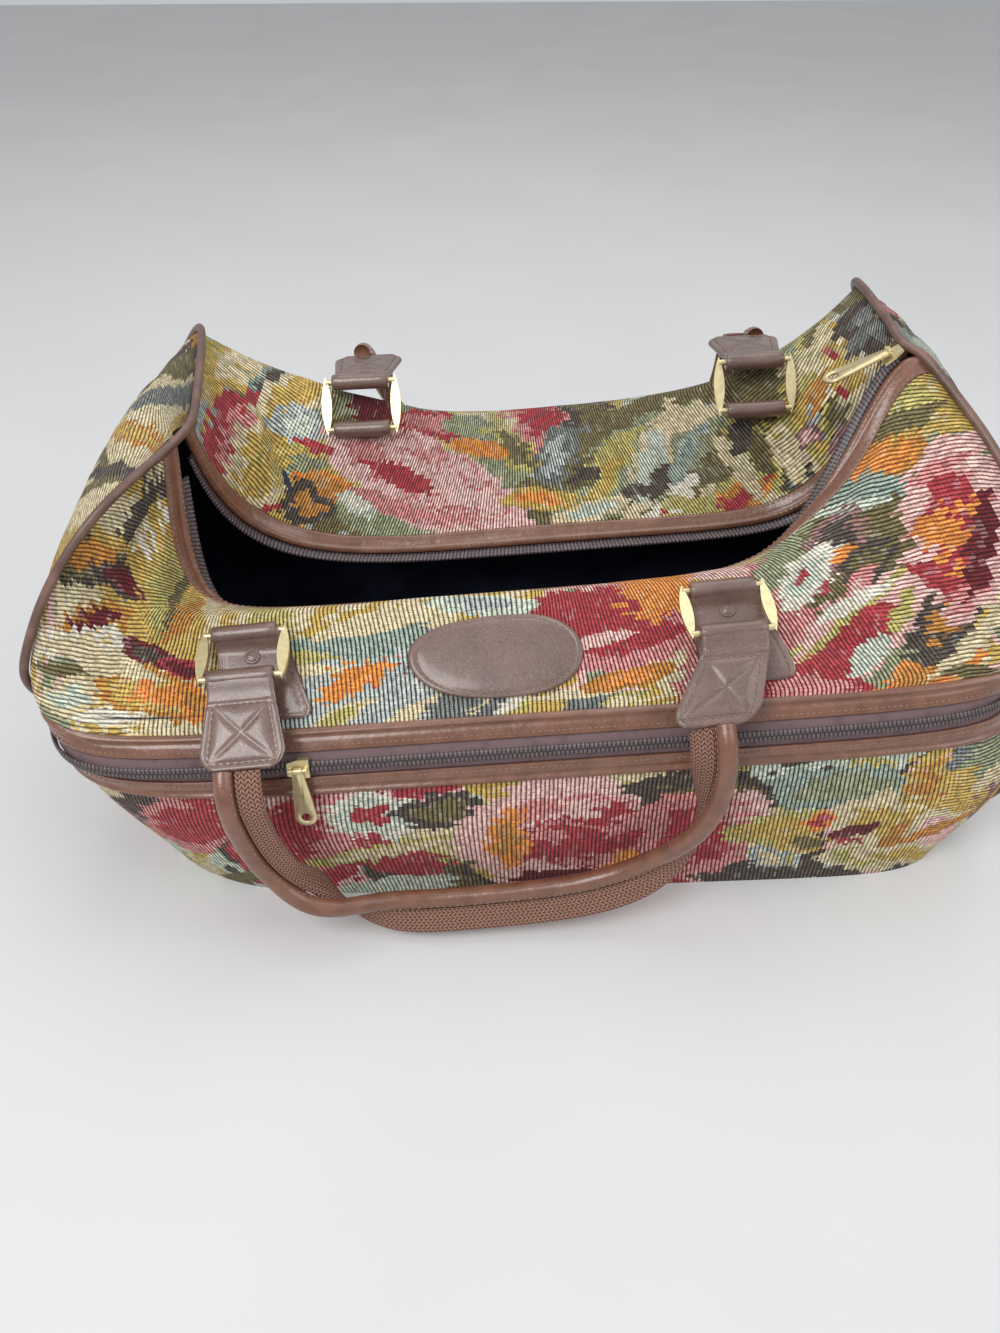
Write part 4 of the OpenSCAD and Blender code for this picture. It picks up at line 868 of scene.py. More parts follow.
def scatter(start, stop, columns, seed):
    """Flowers, leaves and spots on a jittered grid for the ground of a panel, drawn from its cells alone."""
    i, j = (a.ravel() for a in flat_grid(np.arange(columns), np.arange(GROUND_ROWS)))
    g = mix(start, stop, (i + hashed(i, j, seed)) / columns)
    v = 4 * (j + hashed(i, j, seed + 1)) / GROUND_ROWS
    pick = (hashed(i, j, seed + 2) * len(GROUND_MOTIFS)).astype(int)
    turn = hashed(i, j, seed + 3) * 180 - 90
    kind, length, width, shades = zip(*(GROUND_MOTIFS[k] for k in pick))
    order = np.argsort(-np.multiply(length, width), kind="stable")
    return [(kind[n], g[n], v[n], length[n], width[n], turn[n], shades[n]) for n in order]


def motif_mask(kind, x, y, length, width):
    """Depth inside a motif's outline, 0 on its edge and 1 at its middle; a leaf has two pointed ends."""
    if kind == "leaf":
        return 1 - np.abs(x / length) ** 1.5 - np.abs(y / width) ** 1.3
    return 1 - np.sqrt((x / length) ** 2 + (y / width) ** 2)


def rose_petals(depth, x, y):
    """Depth inside a rose, with three arms that wind about its middle."""
    wound = np.maximum(depth + 0.1 * np.sin(3 * np.arctan2(y, x) + depth * 13), 0.01)
    return np.where(depth > 0.06, wound, depth)


def paint_cloth(g, v, place, motifs, fields, seed, upright):
    """Ground and rib of each woven cell: broad fields by noise, then the motifs, with hatched edges."""
    p = place(g, v)
    along = np.linalg.norm(place(g + NUDGE, v) - place(g - NUDGE, v), axis=-1).mean() / (2 * NUDGE)
    x, y = g * along, v * SPAN_V
    column, row = flat_grid(np.arange(g.shape[0]), np.arange(g.shape[1]))
    tone = field_noise(x, y, FIELD, seed) * 0.7 + field_noise(x, y, FIELD_FINE, seed + 5) * 0.3
    table = np.array([YARN[c] for c in fields.split()], float)
    colour = table[np.clip((tone - 0.22) / 0.56 * len(table), 0, len(table) - 1).astype(int)]
    hatch = (hashed(np.floor(row / 2), np.floor(column / 9), seed + 21) - 0.5) * 11
    tooth = (hashed(column, np.floor(row / 12), seed + 22) - 0.5) * 4
    wobble_x = (field_noise(x, y, WOBBLE, seed + 11) - 0.5) * 10 + hatch
    wobble_y = (field_noise(x, y, WOBBLE, seed + 13) - 0.5) * 8 + tooth
    for kind, mg, mv, length, width, turn, shades in motifs:
        mg, mv = np.array(float(mg)), np.array(float(mv))
        c = place(mg, mv)
        du = unit(place(mg + NUDGE, mv) - place(mg - NUDGE, mv))
        up = unit(place(mg, np.minimum(mv + 0.05, 4)) - place(mg, np.maximum(mv - 0.05, 0)))
        a, b = math.cos(math.radians(turn)), math.sin(math.radians(turn))
        small = min(1.0, width / FULL_W)
        rx = (p - c) @ du + wobble_x * small
        ry = (p - c) @ up + wobble_y * small
        depth = motif_mask(kind, rx * a + ry * b, ry * a - rx * b, length / 2, width / 2)
        if kind == "rose":
            depth = rose_petals(depth, rx, ry)
        yarns = np.array([YARN[k] for k in shades.split()], float)
        level = np.clip(np.floor(depth * len(yarns) * 1.3), 0, len(yarns) - 1).astype(int)
        inside = (depth > 0) & (np.linalg.norm(p - c, axis=-1) < length)
        colour = np.where(inside[..., None, None], yarns[level], colour)
    colour = colour * (0.86 + 0.28 * hashed(column, row, seed + 3)[..., None, None])
    fleck = (hashed(column, np.floor(row / 3), seed + 4) > 0.93)[..., None]
    colour[..., 1, :] = np.where(fleck, mix(colour[..., 1, :], 225.0, 0.35), colour[..., 1, :])
    paint = linear(colour)
    off_middle = np.abs(g % 2 - 0.5) + (field_noise(x, y, 20, seed + 6) - 0.5) * 0.06
    paint[..., 0, 3] = ease((upright - off_middle) / UPRIGHT_FADE)
    return paint


# Folds of the cloth

# Thickness of the cloth, spans in which folds die out at a seam, factor of the creases, and mm to a span of v
CLOTH_T, SEAM_FADE_V, SEAM_FADE_G, CREASE_DEPTH, RUMPLE_V = 1.6, 0.35, 0.05, 1.6, 42
# Creases of the cloth: g and v of both ends, width and height in mm
CREASES = {
    "front": (
        (0.000, 3.80, 0.045, 2.78, 9, 4),
        (0.020, 4.00, 0.101, 2.78, 6, -3.5),
        (0.060, 4.00, 0.171, 2.64, 9, 3.5),
        (0.070, 2.37, 0.251, 2.17, 7, -3),
        (0.065, 1.83, 0.236, 1.56, 10, 3),
        (0.126, 4.00, 0.266, 2.37, 8, -2.5),
        (0.945, 3.93, 0.849, 3.25, 10, 3.5),
        (0.914, 4.00, 0.814, 3.19, 7, -3),
        (0.734, 2.24, 0.844, 2.10, 8, 2),
        (0.683, 1.56, 0.869, 1.36, 8, -2.5),
        (0.367, 1.83, 0.437, 1.83, 10, 1.5),
    ),
    "back": (
        (2.930, 3.39, 2.809, 3.93, 8, 3),
        (2.894, 3.39, 2.764, 3.93, 6, -3),
        (2.146, 3.66, 2.256, 4.00, 8, -2.5),
        (2.091, 3.59, 2.181, 3.86, 8, 2.5),
        (2.648, 3.25, 2.497, 3.32, 12, 2),
        (2.417, 3.59, 2.291, 3.59, 10, -1.5),
    ),
}


# How far the front cloth stands out and hangs over the binding below it, at each v
OVERHANG_V, OVERHANG_OUT = (0, 0.04, 0.12, 0.25, 0.5, 0.8), (0.9, 2.6, 3.4, 2.6, 0.9, 0)
OVERHANG_DOWN = (4.6, 5.2, 4.6, 3.0, 1.0, 0)


def rumple(g, v, seed):
    """Small soft folds of the cloth, in millimetres: broad ones by noise, and finer ones on them."""
    x, y = g * 2 * HALF_L, v * RUMPLE_V
    return (field_noise(x, y, 60, seed) - 0.5) * 2.2 + (field_noise(x, y, 24, seed + 1) - 0.5) * 0.9


def creases(p, place, lines):
    """Height of the creases: a bell across the distance from each line, in millimetres."""
    rise = np.zeros(p.shape[:-1])
    for g0, v0, g1, v1, width, height in lines:
        a, b = place(np.array(g0), np.array(v0)), place(np.array(g1), np.array(v1))
        k = np.clip((p - a) @ (b - a) / ((b - a) @ (b - a)), 0, 1)
        gap = np.linalg.norm(p - a - k[..., None] * (b - a), axis=-1)
        fade = 0.35 + 0.65 * np.sin(math.pi * np.clip(k, 0.05, 0.95))
        rise = rise + CREASE_DEPTH * height * bell(gap, width) * fade
    return rise


def overhang(g, v, n):
    """The front cloth rolls over the binding below it: out and down to a crest, then back to the binding."""
    sag = ease((g - 0.14) / 0.12) * ease((0.86 - g) / 0.16)
    out, down = (np.interp(v, OVERHANG_V, reach)[..., None] for reach in (OVERHANG_OUT, OVERHANG_DOWN))
    return (n * out - UP * down) * sag[..., None]


def sheet_size(p):
    """Width and length over the surface of a grid of points, and its area, in metres."""
    width = np.linalg.norm(np.diff(p, axis=0), axis=-1).sum(0).max() * MM
    length = np.linalg.norm(np.diff(p, axis=1), axis=-1).sum(1).max() * MM
    cross = np.cross(p[1:, :-1] - p[:-1, :-1], p[:-1, 1:] - p[:-1, :-1])
    area = np.linalg.norm(cross, axis=-1).sum() * MM**2
    return (float(width), float(max(length, area / width))), float(area)


def cloth_panel(name, key, gs, vs, place, normal, fields, seed, node, upright=UPRIGHT_PANEL, close=False):
    """A sewn panel: points on the wall at each g and v, folds that die out at its seams, and a thickness."""
    g, v = flat_grid(gs, vs)
    edge = np.minimum(ease((v - vs[0]) / SEAM_FADE_V), ease((vs[-1] - v) / SEAM_FADE_V))
    if not close:
        edge = edge * np.minimum(ease((g - gs[0]) / SEAM_FADE_G), ease((gs[-1] - g) / SEAM_FADE_G))
    base, n = place(g, v), normal(g, v)
    outer = base + n * ((rumple(g, v, seed) + creases(base, place, CREASES.get(key, ()))) * edge)[..., None]
    if key == "front":
        outer = outer + overhang(g, v, n)
    inner = outer - n * CLOTH_T
    run = length_of(place(gs, np.full(len(gs), vs[-1] / 8)))
    climb = np.cumsum(np.linalg.norm(np.diff(base, axis=1, prepend=base[:, :1]), axis=-1), 1)
    uv = np.stack([np.broadcast_to(run[:, None], climb.shape), climb], -1)
    cell = flat_grid((gs[1:] + gs[:-1]) / 2, (vs[1:] + vs[:-1]) / 2)
    motifs = scatter(gs[0], gs[-1], max(4, int(run[-1] / GROUND_PITCH)), seed)
    motifs = [m for m in motifs if not FREE[key](m[1], m[2])] + MOTIFS.get(key, [])
    paint = paint_cloth(*cell, place, motifs, fields, seed, upright)
    last = -1 if close else None
    shape = Shape()
    shape.shell(outer[:last], inner[:last], uv, paint, BACKING, close_u=close, thin=4 if close else 1)
    piece = shape.build(name, "tapestry", "tapestry", node)
    flat, area = sheet_size(base)


def round_tube(path, out, radius, sides=14):
    """Rings of a round cord along a path."""
    t = unit(np.gradient(path, axis=0))
    side = unit(np.cross(out, t))
    section = oval(2 * radius, 2 * radius, sides)[None]
    return path[:, None] + section[..., :1] * side[:, None] - section[..., 1:] * np.cross(t, side)[:, None]


def colour_property(name, description, *srgb):
    """A colour that a user may change, written as seen."""
    return FloatVectorProperty(
        name=name, description=description, subtype="COLOR", default=linear(srgb)[:3].tolist(), min=0, max=1)


class Bag_Colours(bpy.types.PropertyGroup):
    """Colours of leather, vinyl, metal and thread"""
    leather: colour_property("Leather", "Colour of tabs, patches and badge", 104, 77, 66)
    vinyl: colour_property(
        "Vinyl", "Colour of the bindings along the zips and of the grip rolls", 117, 77, 58)
    piping: colour_property("Piping", "Colour of the piping on the end seams", 108, 80, 69)
    brass: colour_property("Brass", "Colour of rings, sliders and pulls", 226, 210, 164)
    tape: colour_property("Zip tape", "Colour of the woven zip tape", 124, 103, 104)
    coil: colour_property("Coil", "Colour of the zip coils", 98, 83, 85)
    webbing: colour_property("Webbing", "Colour of the braided strap", 160, 118, 101)
    lining: colour_property("Lining", "Colour of the lining", 46, 50, 68)
    thread: colour_property("Thread", "Colour of the stitches", 146, 116, 100)


class Bag_Sizes(bpy.types.PropertyGroup):
    """Sizes of the zips"""
    tooth: FloatProperty(
        name="Tooth pitch", description="Distance from tooth to tooth of a zip coil", default=0.0024,
        min=0.001, max=0.004, unit="LENGTH")


def tooth_pitch():
    """Distance from tooth to tooth of a zip coil, in millimetres."""
    return bpy.context.scene.bag_sizes.tooth / MM


# Each side or end: first g, top v, woven rows, colours of its fields, seed and node
PANELS = {
    "front": (0, 4, 150, "cream gold cream gold pink green", 3, "front_panel"),
    "right": (1, 5, 120, "rosy pink gold cream olive", 5, "right_end_panel"),
    "back": (2, 4, 170, "green cream leaf gold blue olive", 7, "back_panel"),
    "left": (3, 5, 120, "gold cream olive ochre cream", 9, "left_end_panel"),
}
BAND_ROWS, BAND_FIELDS, BAND_SEED = 65, "crimson pink dark mint leaf cream", 21


class BAG_OT_tapestry(bpy.types.Operator):
    """Front, back and end panels and the band below the closed zip"""
    bl_idname = "bag.tapestry"
    bl_label = "Tapestry panels"

    def execute(self, context):
        for key, (start, top, rows, fields, seed, node) in PANELS.items():
            gs = even_side(lambda g: wall_point(g, np.ones(len(g))), RIB_PITCH, start)
            vs = np.linspace(0, top, rows + 1)
            cloth_panel(f"{key}_cloth", key, gs, vs, wall_point, wall_normal, fields, seed, node)
        gs = even_round(lambda g: lower_point(g, np.ones(len(g))), RIB_PITCH)
        vs = np.linspace(0, 2, BAND_ROWS + 1)
        cloth_panel(
            "base_band_cloth", "lower", gs, vs, lower_point, lower_normal,
            BAND_FIELDS, BAND_SEED, "base_band", UPRIGHT_BAND, close=True)
        return {"FINISHED"}


# Lining: step along it, depth behind the wall where nothing sags, thickness, and flat length in metres
LINING_STEP, LINING_DEPTH, LINING_T, LINING_RUN = 6.0, 2.3, 0.6, 1.6
LINING_SAG_V, LINING_SAG = (0, 0.2, 3.2, 3.8), (5.0, 9.0, 9.0, 2.6)
LINING_FOOT_V, LINING_TOP_GAP, ZIP_EDGE = 0.06, 1.5, 0.001
BASE_STEP, BASE_T, BASE_BEVEL = 8.0, 3.0, 0.6
BASE_SHARES = np.array([1, 0.995, 0.98, 0.8, 0.6, 0.4, 0.2, 0.05])


class BAG_OT_lining(bpy.types.Operator):
    """Dark lining inside the walls and the stiff base"""
    bl_idname = "bag.lining"
    bl_label = "Lining and base"

    def execute(self, context):
        gs = even_round(lambda g: loop_point(ZIP, g), LINING_STEP)[:-1]
        low_v, high_v = np.linspace(LINING_FOOT_V, 2, 12), np.linspace(0, 4, 26)
        low, high = flat_grid(gs, low_v), flat_grid(gs, high_v)
        edge, lip = zip_row(gs, ZIP_EDGE)[:, None], lip_row(gs, TAPE_W + LINING_TOP_GAP)[:, None]
        p = np.concatenate([lower_point(*low), edge, upper_point(*high), lip], 1)
        normals = lower_normal(*low), zip_normal(gs)[:, None], upper_normal(*high), lip_normal(gs)[:, None]
        n = np.concatenate(normals, 1)
        flat = np.full(len(low_v) + 1, LINING_DEPTH)
        depth = np.concatenate([flat, np.interp(high_v, LINING_SAG_V, LINING_SAG), flat[:1]])[:, None]
        shape = Shape()
        shape.shell(p - n * depth, p - n * (depth + LINING_T), close_u=True)
        piece = shape.build("lining_cloth_piece", "lining", "lining_cloth", "lining")
        area = sheet_size(p)[1]
        self.base_plate()
        return {"FINISHED"}

    def base_plate(self):
        """Flat plate inside the lowest row: shares of its rim from the edge to the middle, with bevels."""
        gs = even_round(lambda g: loop_point(BASE, g), BASE_STEP)[:-1]
        rim = loop_point(BASE, gs) - lower_normal(gs, np.zeros(len(gs))) * (1 - UP) * (WALL + SEAM_GAP)
        centre = rim.mean(0) * (1 - UP)
        low = mix(centre, rim[:, None] * (1 - UP), BASE_SHARES[:, None])
        bevel = np.where(BASE_SHARES < 1, 0, BASE_BEVEL)[:, None] * UP
        plate = Shape()
        rings = np.concatenate([(low + bevel)[:, ::-1], low + BASE_T * UP - bevel], 1)
        plate.disc(rings, centre, centre + BASE_T * UP)
        plate.build("base_plate", "lining", "lining_cloth", "base_panel")


SEAM_STEPS, PIPING_STEPS, PIPING_TOP, PIPING_CAP = 60, 260, 6.0, 1.2
CORNER_STEPS, CORNER_V = 24, (0.55, 1.1)
# Rounds of smoothing of the piping's path, and the weights of each
PIPING_SOFT, PIPING_WEIGHTS = 3, np.hanning(9)[1:-1] / np.hanning(9).sum()


def seam_side(g):
    """Places and normals up an end seam at g, from the closed zip to the mouth's tape."""
    at, v, lip = np.full(SEAM_STEPS, g), np.linspace(0, 4, SEAM_STEPS), np.array([g])
    p = np.concatenate([upper_point(at, v), lip_row(lip, TAPE_W + PIPING_TOP), lip_row(lip, TAPE_W)])
    return p, np.concatenate([upper_normal(at, v), lip_normal(lip), lip_normal(lip)])


class BAG_OT_piping(bpy.types.Operator):
    """Piping on the end seams and in the lower right corner"""
    bl_idname = "bag.piping"
    bl_label = "Piping"

    def execute(self, context):
        for side, front, back in (("left", 0.0, 3.0), ("right", 1.0, 2.0)):
            path, n = (np.concatenate([a, b[::-1]]) for a, b in zip(seam_side(front), seam_side(back)))
            path = path + n * (BAND_PROUD + SEAM_GAP + PIPING_D / 2)
            s = length_of(path)
            at = np.linspace(0, s[-1], PIPING_STEPS)
            path, n = at_length(at, s, path), at_length(at, s, n)
            for _ in range(PIPING_SOFT):
                columns = [np.convolve(path[:, c], PIPING_WEIGHTS, "valid") for c in range(3)]
                path[3:-3] = np.stack(columns, -1)
            self.cord(side, path, unit(n))
        at, v = np.full(CORNER_STEPS, 1.0), np.linspace(*CORNER_V, CORNER_STEPS)
        n = lower_normal(at, v)
        self.cord("corner", lower_point(at, v) + n * (SEAM_GAP + PIPING_D / 2), n)
        return {"FINISHED"}

    def cord(self, side, path, n):
        """One length of piping."""
        shape = Shape()
        shape.tube(round_tube(path, n, PIPING_D / 2), rise=PIPING_CAP)
        shape.build(f"{side}_piping_cord", "vinyl", "piping_vinyl", f"{side}_piping")


# Bindings: step along them, depth behind the wall, puff, and width of bead and groove as shares across
BINDING_STEP, BINDING_T, BINDING_PUFF, BEAD_SHARE, GROOVE_SHARE = 3.0, 1.6, 0.9, 0.12, 0.09
MOUTH_SEAM_SHARES, ZIP_SEAM_SHARE, MOUTH_INSET = (0.14, 0.8), 0.22, 0.03
# Section of an open zip half: across and up from its edge, and which points are on the coil
HALF_X = np.array([4.6, 2.2, 1.6, 0.8, 0.0, -0.8, -1.5, -0.8, 0.0, 0.8, 1.6, 2.2, 4.6])
HALF_Z = np.array([0.3, 0.35, 0.4, 1.2, 1.35, 1.0, 0.0, -1.0, -1.35, -1.2, -0.4, -0.35, -0.3])
HALF_COIL = np.array([0, 0, 0, 1, 1, 1, 1, 1, 1, 1, 0, 0, 0])
# Section of the closed chain: across and up from its middle
CHAIN_X = np.array([-3.2, -2.9, -2.0, -1.0, -0.35, 0.35, 1.0, 2.0, 2.9, 3.2, 2.0, -2.0])
CHAIN_Z = np.array([0.0, 0.7, 1.2, 1.25, 1.05, 1.05, 1.25, 1.2, 0.7, 0.0, -0.9, -0.9])
# Steps of a coil for each tooth, and the depth of the closed tape with its fold beside the chain
TOOTH_STEPS, TAPE_T, TAPE_FOLD, TAPE_FOLD_AT, TAPE_FOLD_W = 4, 1.5, 0.35, 4.6, 0.7


def binding_rise(w, edge, bead, bead_at, groove, groove_at):
    """Height across a binding at the shares w: soft edges, a bead near one of them and a groove beside it."""
    puff = BINDING_PUFF * np.sin(math.pi * np.clip(w, 0.02, 0.98)) ** 0.5
    return edge + puff + bead * bell(w - bead_at, BEAD_SHARE) - groove * bell(w - groove_at, GROOVE_SHARE)


class BAG_OT_mouth(bpy.types.Operator):
    """Bindings and open zip halves along the mouth"""
    bl_idname = "bag.mouth"
    bl_label = "Mouth"

    def execute(self, context):
        for side, start in (("front", 0.0), ("back", 2.0)):
            self.binding(side, start)
            self.coil(side, start)
        return {"FINISHED"}

    def binding(self, side, start):
        """Band below the mouth's tape, and its two rows of stitches."""
        gs = even_side(lambda g: lip_row(g, TAPE_W), BINDING_STEP, start)
        w = np.linspace(0, 1, 15)
        rise = binding_rise(w, 0.4, 0.9, 0.82, 0.3, 0.62)
        p = np.stack([lip_row(gs, mix(MOUTH_LIP, TAPE_W, k)) for k in w], 1)
        n = lip_normal(gs)[:, None]
        wave = 0.35 * np.sin(gs * 61)[:, None] * np.sin(math.pi * w)
        shape = Shape()
        shape.shell(p + n * (rise + wave)[..., None], p - n * BINDING_T)
        shape.build(f"{side}_mouth_binding", "vinyl", "vinyl", f"{side}_mouth_band")
        seams = Shape()
        for k in MOUTH_SEAM_SHARES:
            row = lip_row(gs, mix(MOUTH_LIP, TAPE_W, k)) + n[:, 0] * np.interp(k, w, rise)
            stitch_row(seams, row[3:-3], n[3:-3, 0])
        seams.build(f"{side}_mouth_stitches", "vinyl", "thread")

    def coil(self, side, start):
        """Open half of the zip: the section swells at each tooth."""
        tooth = tooth_pitch()
        ends = start + MOUTH_INSET, start + 1 - MOUTH_INSET
        gs = even_round(lambda g: loop_point(MOUTH, g), tooth / TOOTH_STEPS, *ends)
        p, n = loop_point(MOUTH, gs), lip_normal(gs)
        s = length_of(p)
        crown = np.abs(np.sin(s / tooth * math.pi))[:, None]
        z = HALF_Z * (1 - 0.45 * HALF_COIL * (1 - crown))
        x = HALF_X - 0.35 * HALF_COIL * crown * (HALF_X < 0.5)
        across = unit(lip_row(gs, TAPE_W) - p)[:, None]
        base = (p - n * (TAPE_SINK + SEAM_GAP))[:, None]
        rings = base + x[..., None] * across + z[..., None] * n[:, None]
        shape = Shape()
        shape.tube(rings[:, ::-1], uv=np.stack(flat_grid(s, np.full(len(HALF_X) + 1, 2.0)), -1))
        shape.build(f"{side}_mouth_coil", "tape", "coil", f"{side}_mouth_zip")


class BAG_OT_zip(bpy.types.Operator):
    """Closed zip round the bag: two bindings, tape and coil"""
    bl_idname = "bag.zip"
    bl_label = "Closed zip"

    def execute(self, context):
        gs = even_round(lambda g: loop_point(ZIP, g), BINDING_STEP)[:-1]
        n = zip_normal(gs)
        for name, sign in (("upper", 1), ("lower", -1)):
            self.binding(name, sign, gs, n)
        self.tape(gs, n[:, None])
        self.chain()
        return {"FINISHED"}

    def binding(self, name, sign, gs, n):
        """Band above or below the closed zip, with its row of stitches."""
        w = np.linspace(0, 1, 25)
        rise = binding_rise(w, 0.5, 1.5, 0.84, 0.5, 0.6)
        p = np.stack([zip_row(gs, sign * mix(TAPE_HALF, TAPE_HALF + ZIP_BAND_W, k)) for k in w], 1)
        wave = 0.3 * np.sin(gs * 47 + sign)[:, None] * np.sin(math.pi * w)
        outer, inner = p + n[:, None] * (rise + wave)[..., None], p - n[:, None] * BINDING_T
        shape = Shape()
        shape.shell(outer[:, ::sign], inner[:, ::sign], close_u=True, thin=6)
        shape.build(f"{name}_zip_binding", "vinyl", "vinyl", f"{name}_zip_band")
        row = zip_row(gs, sign * mix(TAPE_HALF, TAPE_HALF + ZIP_BAND_W, ZIP_SEAM_SHARE))
        row = row + n * np.interp(ZIP_SEAM_SHARE, w, rise)
        seams = Shape()
        stitch_row(seams, np.concatenate([row, row[:1]]), np.concatenate([n, n[:1]]))
        seams.build(f"{name}_zip_stitches", "vinyl", "thread")

    def tape(self, gs, n):
        """Tape behind the chain, with a fold on each side of it."""
        d = np.linspace(-TAPE_HALF, TAPE_HALF, 13)
        p = np.stack([zip_row(gs, k if k else ZIP_EDGE) for k in d], 1)
        rise = TAPE_FOLD * bell(np.abs(d) - TAPE_FOLD_AT, TAPE_FOLD_W) - TAPE_SINK
        s = np.append(length_of(loop_point(ZIP, gs)), ROWS[ZIP][1][-1])
        uv = np.stack(flat_grid(s, d), -1)
        shape = Shape()
        shape.shell(p + n * rise[:, None], p - n * TAPE_T, uv=uv, close_u=True, thin=6)
        shape.build("zip_tape_strip", "tape", "zip_tape_cloth", "zip_tape")

    def chain(self):
        """Closed coils: crowns on the two sides of the section half a tooth apart."""
        gs = even_round(lambda g: loop_point(ZIP, g), tooth_pitch() / TOOTH_STEPS)
        count = (len(gs) - 1) // TOOTH_STEPS * TOOTH_STEPS
        gs = np.interp(np.arange(count) / count, np.linspace(0, 1, len(gs)), gs)
        phase = (np.arange(count) % TOOTH_STEPS)[:, None] / TOOTH_STEPS * math.pi
        crown = np.abs(np.where(CHAIN_X < 0, np.cos(phase), np.sin(phase)))
        z = np.where(CHAIN_Z > 0, CHAIN_Z * (0.45 + 0.55 * crown), CHAIN_Z)
        n = zip_normal(gs)
        across = unit(zip_row(gs, TAPE_HALF) - zip_row(gs, -TAPE_HALF))[:, None]
        centre = (loop_point(ZIP, gs) + n * (CHAIN_T / 2 + SEAM_GAP - TAPE_SINK))[:, None]
        rings = centre + CHAIN_X[:, None] * across + z[..., None] * n[:, None]
        s = np.arange(count + 1) * tooth_pitch() / TOOTH_STEPS
        shape = Shape()
        uv = np.stack(flat_grid(s, np.append(CHAIN_X, CHAIN_X[0])), -1)
        shape.grid(rings, close_u=True, close_v=True, uv=uv)
        shape.build("zip_coil", "chain", "coil", "zip_chain")


# Handles: loops on the cloth, rings, tabs and straps

LOOP_L, LOOP_D, BAR_D, RING_PITCH, PATCH_LIFT = 36.0, 10.0, 3.6, 30.0, 0.8
BADGE_L, BADGE_W = 110.0, 51.0
PULL_L, PULL_W, PULL_HOLE_SHARE, EYE_L, EYE_R, WIRE_D = 38.0, 12.0, 0.46, 4.9, 1.86, 1.8
PATCH_L, FOOT_L, PATCH_W, PATCH_T = 44.0, 9.0, 51.0, 1.8
TAB_L, TAB_W, TAB_T = 51.0, 45.0, 4.0
TAB_CORNER = TAB_W / 4
HANDLE_DROP, BEND_R, LEG_SPREAD, GRIP_D, WEBBING_W, WEBBING_T = 172.0, 28.0, 4.0, 11.0, 14.0, 4.0
# Room between a roll and its bar, edge of a leather roll, and edge of a pull's eye
BAR_ROOM, ROLL_BEVEL, EYE_BEVEL = 0.06, 0.9, 0.3
CORNER_SHARE, CORNER_WIDTH_SHARE = 0.82, 0.62
TWIST = (180.0, -40.0, 150.0)
TWIST_SHARES = (0.24, 0.48, 0.56, 0.94)
U_SHARE = 0.66
# For each handle: seats of its two loops on the cloth, their heights, then length, lean and height of the
# patches, rise of the rings, fall and leans of the tabs, and the sides of its ends
HANDLES = {
    "front": (
        ((0.3006, 2.405), (0.6835, 2.53)), (LOOP_D / 2, LOOP_D / 2), (PATCH_L, PATCH_L * 1.15), (0.25, -0.3),
        (PATCH_T, PATCH_T), -14.0, 35.0, (0.0, -18.0), ("left", "right"),
    ),
    "back": (
        ((2.172, 3.42), (2.738, 3.31)), (14.0, 8.0), (FOOT_L, FOOT_L), (0.0, 0.0), (14.0, 8.0), 54.0, 6.0,
        (0.0, 0.0), ("right", "left"),
    ),
}


class Handle:
    """The frame of one handle, from the middle of its loops: e along them, f level into the bag, h up."""

    def __init__(self, name):
        (
            self.seats, heights, self.patch_l, self.patch_lean, self.patch_h,
            rise, fall, self.leans, self.sides,
        ) = HANDLES[name]
        loops = [
            upper_point(g, v) + upper_normal(g, v) * (PATCH_LIFT + height)
            for (g, v), height in zip(np.array(self.seats)[..., None], heights)
        ]
        loops = np.concatenate(loops)
        self.e = unit(loops[1] - loops[0])
        self.f = unit(np.cross(UP, self.e))
        self.h = np.cross(self.e, self.f)
        self.origin = loops.mean(0)
        self.half = float(np.linalg.norm(loops[1] - loops[0])) / 2
        self.fall, rise = math.radians(fall), math.radians(rise)
        self.bar = np.array([0.0, -RING_PITCH * math.cos(rise), RING_PITCH * math.sin(rise)])

    def to_world(self, p):
        """A point of the handle's frame in the frame of the bag."""
        return self.origin + p[..., :1] * self.e + p[..., 1:2] * self.f + p[..., 2:] * self.h

    def loop_point(self, end, p):
        """A point of a loop's own frame, in the bag."""
        return self.to_world(p + [end * self.half, 0, 0])

    def tab_point(self, end, p):
        """A point of a tab's own frame, at the ring's outer bar and turned by the fall of the handle."""
        c, s = math.cos(self.fall), math.sin(self.fall)
        turned = np.stack([p[..., 0], p[..., 1] * c - p[..., 2] * s, p[..., 1] * s + p[..., 2] * c], -1)
        return self.loop_point(end, turned + self.bar)


def roll_rings(length, radius, hole, bevel, sides=32):
    """A roll round a bar: a profile of radius along x, turned about the bar, with a hole for it."""
    x = np.array([-0.5, -0.5, -0.492, -0.47, -0.35, -0.12, 0.12, 0.35, 0.47, 0.492, 0.5, 0.5]) * length
    swell = np.array([1, 1.015, 0.99, 0.99, 1.015, 1]) * radius
    edge = [hole, radius - bevel, radius - 0.39 * bevel]
    r = np.concatenate([edge, swell, edge[::-1]])
    around = oval(2, 2, sides)[:, None] * r[:, None]
    return np.concatenate([np.broadcast_to(x[:, None], (sides, len(x), 1)), around], -1)[::-1]


def loop_roll():
    """The roll of a loop or a tab, round the bar of a ring."""
    return roll_rings(LOOP_L, LOOP_D / 2, BAR_D / 2 + BAR_ROOM, ROLL_BEVEL)


